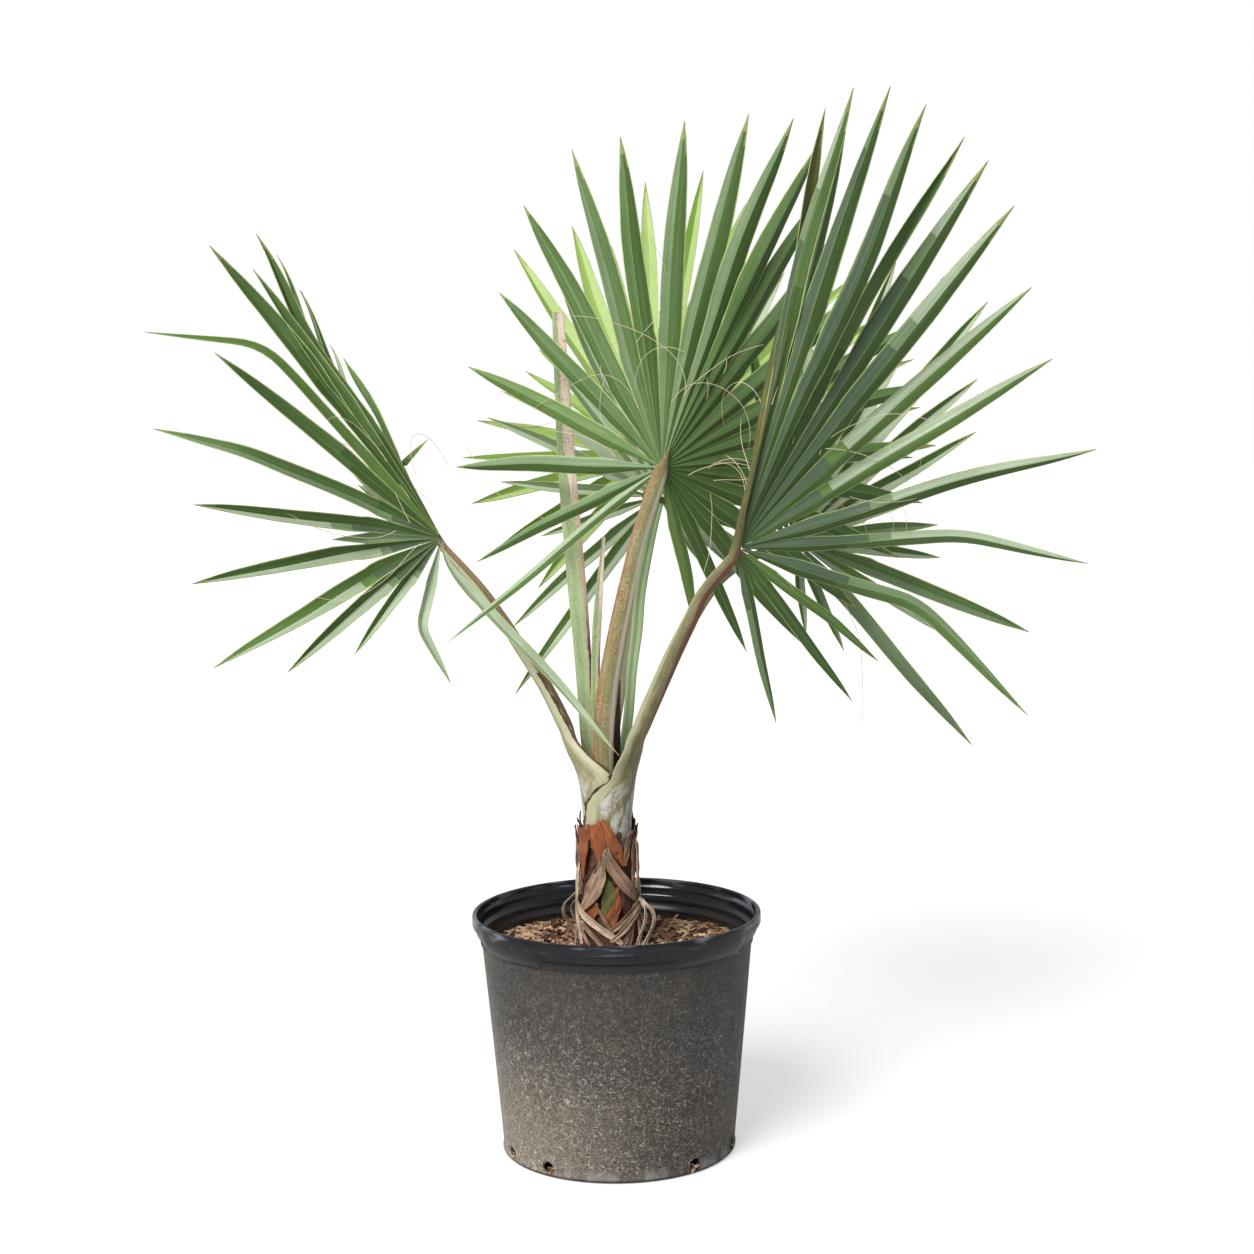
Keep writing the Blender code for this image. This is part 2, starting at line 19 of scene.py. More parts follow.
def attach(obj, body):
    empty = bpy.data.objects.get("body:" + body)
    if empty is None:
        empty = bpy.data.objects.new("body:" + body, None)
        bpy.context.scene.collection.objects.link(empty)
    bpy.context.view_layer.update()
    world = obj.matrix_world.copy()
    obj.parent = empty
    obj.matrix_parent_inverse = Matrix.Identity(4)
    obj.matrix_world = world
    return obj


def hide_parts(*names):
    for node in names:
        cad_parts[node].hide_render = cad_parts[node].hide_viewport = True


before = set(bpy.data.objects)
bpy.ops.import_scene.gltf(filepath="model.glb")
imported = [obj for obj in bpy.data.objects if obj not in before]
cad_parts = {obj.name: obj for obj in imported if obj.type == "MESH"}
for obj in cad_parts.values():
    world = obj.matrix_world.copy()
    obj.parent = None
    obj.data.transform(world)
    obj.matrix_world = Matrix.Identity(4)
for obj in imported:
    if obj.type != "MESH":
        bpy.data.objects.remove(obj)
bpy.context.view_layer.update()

# %% [markdown]
# ## Nodes in few words
# Every finish is built from shader nodes.  Placed one by one they take many
# lines, so a small class adds a node, feeds its inputs and returns the output
# that matters.  An input is a number, a colour or another node's output, and
# colours are in thousandths, so that 250 is a quarter of full light.

# %% Node tools
class Nodes:
    """Adds nodes to one tree."""

    def __init__(self, tree):
        self.tree = tree

    def feed(self, node, inputs):
        for label, value in inputs.items():
            socket = node.inputs[label]
            if isinstance(value, bpy.types.NodeSocket):
                self.tree.links.new(value, socket)
            elif socket.type == "RGBA":
                socket.default_value = (*(part / 1000 for part in value), 1)
            else:
                socket.default_value = value

    def add(self, kind, inputs, out=0, **settings):
        node = self.tree.nodes.new("ShaderNode" + kind)
        for name, value in settings.items():
            setattr(node, name, value)
        self.feed(node, inputs)
        return node.outputs if out is None else node.outputs[out]

    def maths(self, operation, a, b=0):
        return self.add("Math", {0: a, 1: b}, operation=operation)

    def times(self, a, b):
        return self.maths("MULTIPLY", a, b)

    def plus(self, a, b):
        return self.maths("ADD", a, b)

    def less(self, a, b):
        return self.maths("SUBTRACT", a, b)

    def ramp(self, value, low, high, to=(0, 1)):
        """A soft step from to[0] at low to to[1] at high."""
        return self.add("MapRange", {"Value": value, "From Min": low, "From Max": high,
                                     "To Min": to[0], "To Max": to[1]}, "Result",
                        interpolation_type="SMOOTHSTEP")

    def mix(self, share, a, b):
        return self.add("Mix", {0: share, 6: a, 7: b}, 2, data_type="RGBA")

    def noise(self, place, scale, detail=3, rough=.55, warp=0):
        return self.add("TexNoise", {"Vector": place, "Scale": scale, "Detail": detail,
                                     "Roughness": rough, "Distortion": warp}, "Fac")

    def parts(self, vector):
        return self.add("SeparateXYZ", {0: vector}, None)

    def vector(self, *parts):
        return self.add("CombineXYZ", dict(enumerate(parts)))

    def solid(self):
        return self.add("TexCoord", {}, "Object")


print("node tools ready")

# %% [markdown]
# ## Shared effects
# The same few things show on many surfaces: streaks that run the long way of a
# leaf or strip, soft blotches, small crusts of brown scurf, and thin worm-like
# marks of old dirt.  Each is one node group with numbers on the outside, so a
# stalk and a leaflet can share it at their own scale.

# %% Node groups
def group(name, inputs, outputs):
    """An empty group of Nodes with its inside inputs and outputs; None asks for a place."""
    tree = bpy.data.node_groups.new(name, "ShaderNodeTree")
    for label, value in inputs.items():
        kind = "NodeSocketVector" if value is None else "NodeSocketFloat"
        socket = tree.interface.new_socket(label, in_out="INPUT", socket_type=kind)
        if value is not None:
            socket.default_value = value
    for label in outputs:
        tree.interface.new_socket(label, in_out="OUTPUT", socket_type="NodeSocketFloat")
    start, end = tree.nodes.new("NodeGroupInput"), tree.nodes.new("NodeGroupOutput")
    return Nodes(tree), start.outputs, end


def make_streaks():
    """Fine lines along a piece, from its own (along, across, number) marks."""
    n, use, end = group("streaks", {"Place": None, "Fineness": 14, "Length": 5},
                        ("Lines", "Height"))
    along, across, number = n.parts(use["Place"])
    place = n.vector(n.times(along, use["Length"]), n.times(across, use["Fineness"]),
                     n.times(number, 37))
    both = n.plus(n.times(n.noise(place, 1, 2, .6), .6), n.times(n.noise(place, 3.3, 2, .6), .4))
    n.feed(end, {"Lines": n.ramp(both, .34, .66), "Height": both})
    return n.tree


def make_blotches():
    """Large soft patches in the solid itself."""
    n, use, end = group("blotches", {"Scale": 6, "Low": .4, "High": .6}, ["Mask"])
    cloud = n.noise(n.solid(), use["Scale"], 4, .6, .4)
    n.feed(end, {"Mask": n.ramp(cloud, use["Low"], use["High"])})
    return n.tree


def make_scurf():
    """Small ragged crusts, thick in some places and missing in others."""
    n, use, end = group("scurf", {"Scale": 260, "Cover": .5}, ["Mask"])
    place = n.solid()
    grain = n.noise(place, use["Scale"], 4, .65, .8)
    drift = n.noise(place, 22, 3, .6)
    edge = n.less(n.less(.80, n.times(use["Cover"], .36)), n.times(drift, .14))
    n.feed(end, {"Mask": n.ramp(grain, edge, n.plus(edge, .05))})
    return n.tree


def make_worm_marks():
    """Short thin curling lines of dried dirt."""
    n, use, end = group("worm_marks", {"Scale": 90, "Width": .02, "Cover": .5}, ["Mask"])
    place = n.solid()
    off = n.maths("ABSOLUTE", n.less(n.noise(place, use["Scale"], 1, .5, 1.1), .5))
    line = n.ramp(off, 0, use["Width"], (1, 0))
    gaps = n.noise(place, n.times(use["Scale"], 1.4), 1)
    low = n.less(.66, n.times(use["Cover"], .3))
    n.feed(end, {"Mask": n.times(line, n.ramp(gaps, low, n.plus(low, .04)))})
    return n.tree


STREAKS, BLOTCHES, SCURF, WORMS = (make_streaks(), make_blotches(), make_scurf(),
                                   make_worm_marks())
print("node groups:", [g.name for g in bpy.data.node_groups])

# %% [markdown]
# ## Skins
# A material starts from one Principled shader.  Like real paint its colour is
# laid on coat by coat, each as far as a mask reaches, and a height joins the
# surface as bump.

# %% Skins
class Skin(Nodes):
    """A material whose base colour is laid on coat by coat."""

    def __init__(self, name, rough, specular):
        self.material = bpy.data.materials.new(name)
        self.material.use_nodes = True
        super().__init__(self.material.node_tree)
        self.shader = self.tree.nodes["Principled BSDF"]
        self.feed(self.shader, {"Roughness": rough, "Specular IOR Level": specular})

    def marks(self):
        return self.add("Attribute", {}, "Vector", attribute_name="place")

    def placed(self, shared, *values):
        labels = [item.name for item in shared.interface.items_tree if item.in_out == "INPUT"]
        return self.add("Group", dict(zip(labels, values)), None, node_tree=shared)

    def streaks(self, fineness, length, place=None):
        place = self.marks() if place is None else place
        return self.placed(STREAKS, place, fineness, length)

    def blotches(self, scale, low, high):
        return self.placed(BLOTCHES, scale, low, high)["Mask"]

    def scurf(self, scale, cover):
        return self.placed(SCURF, scale, cover)["Mask"]

    def base(self, mask, a, b):
        self.colour = self.mix(mask, a, b)

    def coat(self, colour, mask, share=None):
        mask = mask if share is None else self.times(mask, share)
        self.colour = self.mix(mask, self.colour, colour)

    def shine(self, mask, smoothest, roughest):
        rough = self.ramp(mask, 0, 1, (smoothest, roughest))
        self.feed(self.shader, {"Roughness": rough})

    def finish(self, height, strength, distance):
        bump = self.add("Bump", {"Height": height, "Strength": strength, "Distance": distance})
        self.feed(self.shader, {"Base Color": self.colour, "Normal": bump})
        return self.material


def streaked(name, light, dark, patch=None, rough=.6, specular=.35, grain=(6, 26),
             spots=(55, .4, .62), share=.5, relief=(.3, .0004)):
    """A plain fibrous skin: two tones in streaks, and patches."""
    skin = Skin(name, rough, specular)
    lines = skin.streaks(*grain)
    skin.base(lines["Lines"], light, dark)
    skin.coat(patch or dark, skin.blotches(*spots), share)
    return skin.finish(lines["Height"], *relief)


print("skins ready")

# %% [markdown]
# ## Studio
# A plant cut out on white needs a floor and a backdrop that stay white while
# the leaves keep their own light and shade.  So the floor and the world look
# white to the eye, but give the plant only a moderate light.  One broad soft
# sun stands high and a little to the front left: it bleaches the faces that
# look up and leaves those that look down deep green.  Its wide disc keeps the
# shade on the floor close round the foot of the pot.

# %% Floor, world, sun and camera
FLOOR_SIZE, FLOOR_DROP = 40.0, 0.0004
CAMERA_PLACE = (0.0224, -3.49, 1.249)
CAMERA_PITCH, CAMERA_TURN = 0.1207, -0.0129      # radians down, and about its own axis
CAMERA_LENS, SENSOR = 65.31, 36                  # millimetres
SUN_FROM, SUN_POWER, SUN_DISC = (-0.62, -0.95, 1.0), 4.3, 34     # the disc in degrees
WORLD_LIGHT = 0.42


def in_scene(name, data):
    item = bpy.data.objects.new(name, data)
    bpy.context.scene.collection.objects.link(item)
    return item


def plain_floor():
    skin = Skin("floor_white", .9, 0)
    skin.feed(skin.shader, {"Base Color": (500, 500, 500), "Emission Color": (520, 520, 520),
                            "Emission Strength": skin.add("LightPath", {}, "Is Camera Ray")})
    bpy.ops.mesh.primitive_plane_add(size=FLOOR_SIZE, location=(0, 0, -FLOOR_DROP))
    floor = bpy.context.object
    floor.name = "floor"
    floor.data.materials.append(skin.material)


def white_world():
    world = bpy.data.worlds.new("studio")
    world.use_nodes = True
    sky, own = Nodes(world.node_tree), world.node_tree.nodes
    sky.feed(own["Background"], {"Color": (950, 980, 1000), "Strength": WORLD_LIGHT})
    white = sky.add("Background", {"Color": (1000, 1000, 1000), "Strength": 1})
    eye = sky.add("LightPath", {}, "Is Camera Ray")
    pick = sky.add("MixShader", {0: eye, 1: own["Background"].outputs[0], 2: white})
    sky.feed(own["World Output"], {"Surface": pick})
    bpy.context.scene.world = world


def soft_sun():
    lamp = bpy.data.lights.new("sun", "SUN")
    lamp.energy, lamp.angle = SUN_POWER, math.radians(SUN_DISC)
    lamp.color = (1.0, 0.985, 0.955)
    in_scene("sun", lamp).rotation_euler = Vector(SUN_FROM).to_track_quat("Z", "Y").to_euler()


def studio_camera():
    camera = bpy.data.cameras.new("camera")
    camera.lens, camera.sensor_width = CAMERA_LENS, SENSOR
    item = in_scene("camera", camera)
    item.matrix_world = (Matrix.Translation(CAMERA_PLACE)
                         @ Matrix.Rotation(math.pi / 2 - CAMERA_PITCH, 4, "X")
                         @ Matrix.Rotation(CAMERA_TURN, 4, "Z"))
    bpy.context.scene.camera = item


plain_floor()
white_world()
soft_sun()
studio_camera()
bpy.context.scene.view_settings.view_transform = "Standard"

# %% [markdown]
# ## Small tools
# Most of a palm is thin bent sheet: leaflets, sheaths, dry strips.  Each of
# these is a grid of points, rows along the piece and columns across it, which
# one function turns into faces.  A thin Solidify then gives it two sides, so it
# is a real body and not paper with no back.  Curves are run through a few
# named points, as a maker bends a batten.  Long tables are kept as text.

# %% Numbers and curves
def table(text, units):
    """Rows parted by commas; an m in units marks a column in millimetres."""
    return np.array([[round(float(n) / 1000, 7) if unit == "m" else float(n)
                      for n, unit in zip(row.split(), units)] for row in text.split(",")])


def unit(v):
    v = np.asarray(v, float)
    return v / np.linalg.norm(v, axis=-1, keepdims=True)


def smooth(x):
    x = np.clip(x, 0, 1)
    return x * x * (3 - 2 * x)


def bent(points, count):
    """Catmull-Rom curve through rows of numbers, count rows long."""
    p = np.array(points, float)
    p = np.vstack([2 * p[0] - p[1], p, 2 * p[-1] - p[-2]])
    s = np.linspace(0, len(p) - 3, count)
    i = np.minimum(s.astype(int), len(p) - 4)
    t = (s - i)[:, None]
    a, b, c, d = p[i], p[i + 1], p[i + 2], p[i + 3]
    return 0.5 * (2 * b + (c - a) * t + (2 * a - 5 * b + 4 * c - d) * t ** 2
                  + (3 * b - a - 3 * c + d) * t ** 3)


def spread(values, count):
    """Rows of numbers spread evenly over count stations."""
    rows = np.array(values, float)
    at = np.linspace(0, len(rows) - 1, count)
    return np.stack([np.interp(at, range(len(rows)), column) for column in rows.T], 1)


def turns(count):
    return np.linspace(0, 2 * np.pi, count, endpoint=False)


def level_ring(a, r, z, centre=(0, 0), flat=1):
    """Points round an upright axis at height z."""
    return np.stack([centre[0] + r * np.cos(a), centre[1] + r * flat * np.sin(a),
                     np.full(len(a), z)], 1)


def marks_for(grid, along, across=0, number=0):
    """Marks that tell a finish how far along and across a point is, and of which piece."""
    marks = np.zeros(grid.shape)
    marks[..., 0], marks[..., 1], marks[..., 2] = along, across, number
    return marks


print("curve tools ready")

# %% [markdown]
# A piece is often hundreds of small parts: all leaflets of a fan, or all chips.
# Objects by the hundred would be slow to handle, so a heap gathers their points
# and faces first and then becomes one mesh.  Each face keeps the number of its
# finish, and each point keeps its marks, which the streaks read.

# %% Pieces
class Heap:
    """Points, faces, finishes and marks that will become one piece."""

    def __init__(self):
        self.points, self.faces, self.finish, self.marks = [], [], [], []
        self.count = 0

    def add(self, points, faces, finish=0, marks=None):
        points = np.reshape(points, (-1, 3))
        self.points.append(points)
        self.faces.extend([[k + self.count for k in f] for f in faces])
        self.finish.extend(finish if np.ndim(finish) else [finish] * len(faces))
        self.marks.append(np.zeros(points.shape) if marks is None
                          else np.reshape(marks, (-1, 3)))
        self.count += len(points)

    def add_grid(self, grid, finish=0, marks=None, ring=False):
        """Faces between rows of points; a ring closes each row and caps both ends."""
        rows, columns = grid.shape[:2]
        k = np.arange(rows * columns).reshape(rows, columns)
        if ring:
            k = np.c_[k, k[:, 0]]
        corners = (k[:-1, :-1], k[:-1, 1:], k[1:, 1:], k[1:, :-1])
        faces = np.stack(corners, -1).reshape(-1, 4).tolist()
        kinds = np.broadcast_to(finish, corners[0].shape).ravel().tolist()
        if ring:
            faces += [k[0, -2::-1].tolist(), k[-1, :-1].tolist()]
            kinds += [kinds[0], kinds[-1]]
        self.add(grid, faces, kinds, marks)

    def piece(self, name, materials, thick=0, sharp=40):
        mesh = bpy.data.meshes.new(name)
        mesh.from_pydata(np.vstack(self.points).tolist(), [], self.faces)
        for material in materials:
            mesh.materials.append(material)
        mesh.polygons.foreach_set("material_index", self.finish)
        marks = mesh.attributes.new("place", "FLOAT_VECTOR", "POINT")
        marks.data.foreach_set("vector", np.vstack(self.marks).astype(np.float32).ravel())
        item = in_scene(name, mesh)
        if thick:
            sheet = item.modifiers.new("thickness", "SOLIDIFY")
            sheet.thickness, sheet.offset = thick, 0
            settle(item)
        shade(item, sharp)
        return item


def shade(item, sharp):
    item.data.shade_smooth()
    item.data.set_sharp_from_angle(angle=math.radians(sharp))


def settle(item):
    """Turn an object's modifiers into plain mesh."""
    graph = bpy.context.evaluated_depsgraph_get()
    mesh = bpy.data.meshes.new_from_object(item.evaluated_get(graph))
    item.modifiers.clear()
    item.data = mesh


def stands_for(item, slot, *nodes):
    """The piece rides with the plant and hides its solids; the slot is not used."""
    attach(item, "root")
    if nodes:
        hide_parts(*nodes)
    print(f"{item.name}: {len(item.data.polygons)} faces")


print("piece tools ready")

# %% [markdown]
# ## Leaf finishes
# The leaflets wear a blue-grey wax over green.  Each half of a creased
# leaflet takes one of four tones of it, dealt out by how it faces: the more
# it looks up to the lamp, the paler it is, so these tones are painted light
# and shade.  Straw margins, tan tips and pale ribs are finishes of their own
# on their own faces too.  Every finish is rubbed in streaks that run with the fibres.

# %% Leaflet materials
def leaf(name, main, wax, dark, glow=0, rough=.47):
    skin = Skin(f"leaf_{name}", rough, .32)
    lines, hair, veins = skin.streaks(7, 2.4), skin.streaks(30, 7), skin.streaks(15, 1.3)
    skin.base(lines["Lines"], main, wax)
    skin.coat(dark, veins["Lines"], .62)
    skin.coat(dark, hair["Lines"], .40)
    skin.coat(dark, skin.blotches(9, .36, .66), .36)
    skin.coat(wax, skin.blotches(75, .60, .74), .22)
    skin.shine(lines["Lines"], rough - .07, rough + .10)
    if glow:
        skin.feed(skin.shader, {"Subsurface Weight": glow, "Subsurface Scale": .004,
                                "Subsurface Radius": (.7, 1, .25)})
    return skin.finish(skin.plus(hair["Height"], veins["Height"]), .5, .0008)


# Each four run from painted shade, on the side that looks down, to painted light on the side that
# looks up.
GREENS = [leaf("deep", (62, 125, 24), (110, 190, 55), (34, 78, 14)),
          leaf("green", (90, 180, 42), (170, 265, 105), (50, 108, 22)),
          leaf("blue", (165, 250, 115), (310, 400, 255), (85, 148, 58)),
          leaf("wax", (370, 450, 310), (590, 660, 520), (190, 262, 150))]
# The back fan's four paler yellow-greens are painted light: the glow of light shining through it
# from behind.
BACKLIT_GREENS = [leaf("backlit_deep", (150, 270, 40), (210, 350, 70), (85, 170, 24)),
          leaf("young", (220, 370, 60), (300, 450, 110), (130, 240, 35)),
          leaf("backlit_pale", (310, 450, 95), (400, 530, 180), (190, 320, 60), .05),
          leaf("backlit_wax", (400, 520, 180), (500, 600, 300), (250, 370, 100), .05)]
MARGIN, TIP, RIB, RIDGE, HEART, POINT, FRESH, OLIVE, SHADE = range(4, 13)
TRIMS = [streaked("leaf_margin", (500, 540, 240), (270, 360, 120)),
         streaked("leaf_tip", (360, 250, 110), (190, 110, 45)),
         streaked("leaf_rib", (220, 300, 120), (120, 190, 65)),
         streaked("leaf_web_ridge", (360, 400, 170), (210, 270, 100)),
         streaked("leaf_heart", (270, 190, 90), (150, 85, 40)),
         leaf("point", (290, 360, 105), (380, 430, 170), (150, 220, 50)),
         leaf("fresh", (112, 215, 46), (200, 310, 95), (62, 132, 24)),
         leaf("olive", (110, 125, 30), (250, 250, 80), (50, 58, 14)),
         leaf("shaded", (78, 128, 70), (145, 205, 132), (46, 80, 40))]
print("leaf materials:", len(GREENS + BACKLIT_GREENS + TRIMS))

# %% [markdown]
# ## Fan leaves
# A fan leaf is one pleated sheet.  Near the hub neighbouring leaflets share a
# web, folded like a paper fan; past the notch each goes on alone as a long
# blade, creased along its rib, widest just past the notch and drawn out to a
# needle.  The same rule that made the solids is written again here: rays from a
# hub, a fold at the rib, and a list of angle and reach.  Only the stations and
# the outline are finer.

# %% The fans
# Keys are rows of leaflet number, angle from the rib and reach; leaflets between
# two keys are spaced evenly.  A bend is a share of the reach and a new direction.
# Widths, looks and lifts are shares, finishes and bows of single leaflets.
# A fan's lift makes its painted light tones paler all over; its shade spreads painted shade out
# from the hub.
FAN = dict(curl=0, droop=.10, turned=.5, crease=1.1, broad=.82, lift=0, shade=0,
           widths={}, looks={}, lifts={}, bends={})
FRONDS = {
    "left": dict(
        FAN, hub=(-.261, 0, .967), azimuth=-169.8, elevation=60.6, roll=35,
        fold=-25, curl=-22, seat=.0040, facing=(-.10, -.80, .58), turned=.62, crease=1.25,
        lift=.04, shade=1,
        widths={4: .95, 5: .62, 6: .95, 7: .56, 8: .50, 9: .50, 13: .52, 15: .82, 17: 1.25,
                22: .90, 23: .74},
        looks={4: FRESH, 6: FRESH, 8: 1, 13: FRESH, 17: 2, 22: 3, 23: 3},
        lifts={5: -.055, 6: .012, 7: -.052, 8: -.045, 9: -.040, 10: -.030},
        keys="""0 84 260, 2 66 300, 3 61 300, 4 47.5 240, 5 31 405, 6 25.4 352, 7 16.7 545,
            8 12 460, 9 7 450, 10 2.2 563, 11 -4 515, 12 -7.6 587, 13 -13 570, 14 -20.4 461,
            15 -35.6 480, 16 -51.3 414, 17 -60 190, 18 -67 426, 19 -83.4 435, 20 -93.8 340,
            21 -105.2 240, 22 -130 240, 23 -152 440""",
        bends={4: (.70, (.72, .10, .68)), 13: (.72, (-.99, 0, .13)), 15: (.72, (-.97, 0, .22)),
               22: (.62, (.42, -.10, -.85)), 23: (.09, (.655, -.28, -.71))}),
    "front": dict(
        FAN, hub=(.077, -.120, 1.077), azimuth=-26.2, elevation=66.8, roll=64,
        fold=25, droop=.08, seat=-.0006, facing=(-.05, -.90, .42), turned=.35, crease=1,
        broad=.93, lift=-.31,
        widths={0: .44, 1: .74, 2: .90, 3: .92, 4: .90, 21: .85, 22: .8, 23: .8},
        keys="""0 148 430, 1 137 347, 2 112 348, 3 86.6 361, 4 67.4 382, 5 51.7 464, 6 39 509,
            7 29.9 508, 8 18.4 525, 9 7.5 549, 10 1 562, 11 -4 545, 12 -8.8 486, 13 -17 450,
            15 -44 460, 17 -70 460, 19 -94 450, 21 -121 420, 22 -134 351, 23 -146 270""",
        bends={0: (.29, (-.72, -.40, -.56))}),
    "right": dict(
        FAN, hub=(.176, -.360, .977), azimuth=-58.3, elevation=66.3, roll=75,
        fold=55, droop=.06, seat=0, facing=(.05, -.85, .50), turned=.55, crease=1.2,
        broad=.86, lift=.13, shade=1.35,
        widths={19: .9, 20: .82, 21: .78, 22: .66, 23: .70, 24: .66, 25: .66, 26: .66},
        looks=dict.fromkeys((4, 5, 7, 8, 9, 10, 12), OLIVE),
        keys="""0 126 170, 4 78 270, 8 36 430, 11 13.5 600, 12 7 630, 13 .6 677, 14 -3.4 697,
            15 -7.3 688, 16 -13.4 657, 17 -17.7 642, 18 -24 609, 19 -34.4 541, 20 -46.3 505,
            21 -64 521, 22 -79 503, 23 -101 510, 24 -121 288, 25 -134 312, 26 -155.6 291""",
        bends={22: (.66, (.976, 0, -.217)), 23: (.57, (.71, 0, -.70))}),
    "back": dict(
        FAN, hub=(.067, .360, 1.072), azimuth=90, elevation=50, roll=0,
        fold=10, droop=.05, seat=-.0007, facing=(0, -.90, .42), turned=.4, broad=.9,
        keys="""0 150 360, 5 84 460, 8 46 520, 9 30.7 547, 10 17.8 598, 11 9 690, 12 0 664,
            13 -14.6 542, 14 -28.1 512, 15 -42 290, 16 -53 270, 17 -66 280, 19 -96 320,
            22 -146 340"""),
    "middle": dict(
        FAN, hub=(.077, .180, 1.015), azimuth=90, elevation=70, roll=0,
        fold=3, seat=-.0012, facing=(0, -.85, .50), turned=.4, broad=.74, lift=.12,
        keys="""0 148 200, 2 122 180, 4 94 240, 6 66 360, 8 40 440, 11 4 480, 13 -22 440,
            14 -35 340, 15 -49 270, 16 -62.6 311, 17 -83 258, 18 -108 200, 19 -131 312,
            20 -143 387"""),
    "back_right": dict(
        FAN, hub=(.293, .140, .945), azimuth=17.2, elevation=28.9, roll=-80,
        fold=8, seat=-.0015, facing=(.1, -.80, .60),
        keys="""0 117 150, 1 99 190, 2 80.4 419, 3 63 278, 4 51 405, 5 37 240, 6 24 240,
            7 10 310, 9 -11 420, 10 -21 529, 12 -40 500, 14 -73 360, 17 -132 280"""),
}
for frond in FRONDS.values():
    frond["keys"] = table(frond["keys"], "..m")
print("fans:", list(FRONDS))

# %% [markdown]
# A frond's few numbers give any point of its fan.  A ray leaves the hub at an
# angle from the rib, the two halves fold along the rib, and the sheet droops
# with the square of the distance, as a blade does under its own weight.  Asking
# a rule for points keeps web, blade and thread on the same sheet.

# %% The fan rule
FOLD_EASE = 14                 # degrees either side of the rib over which the fold is rounded
CURL_FROM, CURL_OVER = 25, 35  # degrees


def frame_of(frond):
    """Along the rib, to the plus side and out of the upper face."""
    a, e, r = (math.radians(frond[k]) for k in ("azimuth", "elevation", "roll"))
    along = np.array([math.cos(a) * math.cos(e), math.sin(a) * math.cos(e), math.sin(e)])
    level = unit(np.cross(along, (0, 0, 1)))
    up = np.cross(level, along)
    return (along, level * math.cos(r) + up * math.sin(r),
            up * math.cos(r) - level * math.sin(r))


def leaflets(frond):
    number, angle, reach = frond["keys"].T
    each = np.arange(number[-1] + 1)
    return np.interp(each, number, angle), np.interp(each, number, reach)


def ray(frond, angle):
    along, side, normal = frame_of(frond)
    fold = frond["fold"] * min(1, abs(angle) / FOLD_EASE)
    fold += frond["curl"] * min(1, max(0, (angle - CURL_FROM) / CURL_OVER))
    a, f = math.radians(angle), math.radians(fold)
    return (along * math.cos(a) + abs(math.sin(a))
            * (side * math.copysign(math.cos(f), a) + normal * math.sin(f)))


def on_fan(frond, angle, r):
    r = np.asarray(r, float)[..., None]
    return (np.array(frond["hub"]) + ray(frond, angle) * r
            - np.array((0, 0, frond["droop"])) * r * r)


def across_at(frond, angle):
    step = unit(ray(frond, angle + .5) - ray(frond, angle - .5))
    normal = unit(np.cross(step, ray(frond, angle)))
    return step, normal * math.copysign(1, normal @ frame_of(frond)[2])


print("leaflets:", {name: len(leaflets(f)[0]) for name, f in FRONDS.items()})

# %% [markdown]
# One leaflet is a grid.  Its columns run edge, margin, blade, rib, blade,
# margin, edge; its rows run from the hub to the tip, closer together near the
# ends.  The middle columns sit lower than the edges, which makes the crease.
# Past the notch a blade also turns a little toward the light, as its own weight
# and growth turn it on the plant.  A small bow and some twist, drawn by a seeded
# rule, keep two leaflets from ever being alike.

# %% One leaflet
ACROSS = np.array([-1, -.91, -.62, -.30, -.028, .028, .30, .62, .91, 1])
HALF_OF = np.array([0, 0, 0, 0, 0, 1, 1, 1, 1])     # which half each strip of faces is in
WEB_ROWS, FREE_ROWS = 9, 26
WIDEST_SHARE, LOOSE_SHARE = 0.13, .09    # how far a leaflet opens, in radians each side
NOTCH_FROM, NOTCH_TO = .24, .44          # where a web may end, in shares of the reach
WEB_FOLD, BELLY, TWIST = .27, .10, 18
LOWEST_BEND = .32                        # a leaflet bent below this share has no web
LEAF_FROM = .007                         # where its rows start, just outside the hub
BOW, ARCH, CREASE = (-.012, .012), (-.010, .014), (.20, .36)
OUTLINE = ((0, .012, .03, .055, .11, .17, .30, .47, .65, 1),
           (.008, .05, .13, .25, .45, .62, .86, .99, 1, .93))


def middle_line(frond, angle, reach, bend, radii):
    """Points of a leaflet's middle and the direction it runs there."""
    line = on_fan(frond, angle, radii)
    run = unit(on_fan(frond, angle, radii + .002) - line)
    if bend:
        turn = smooth((radii / reach - bend[0] + .09) / .18)[:, None]
        run = unit(run * (1 - turn) + unit(bend[1]) * turn)
        steps = np.diff(radii, prepend=radii[0])[:, None]
        line = line[0] + np.cumsum(run * steps, 0)
    return line, run


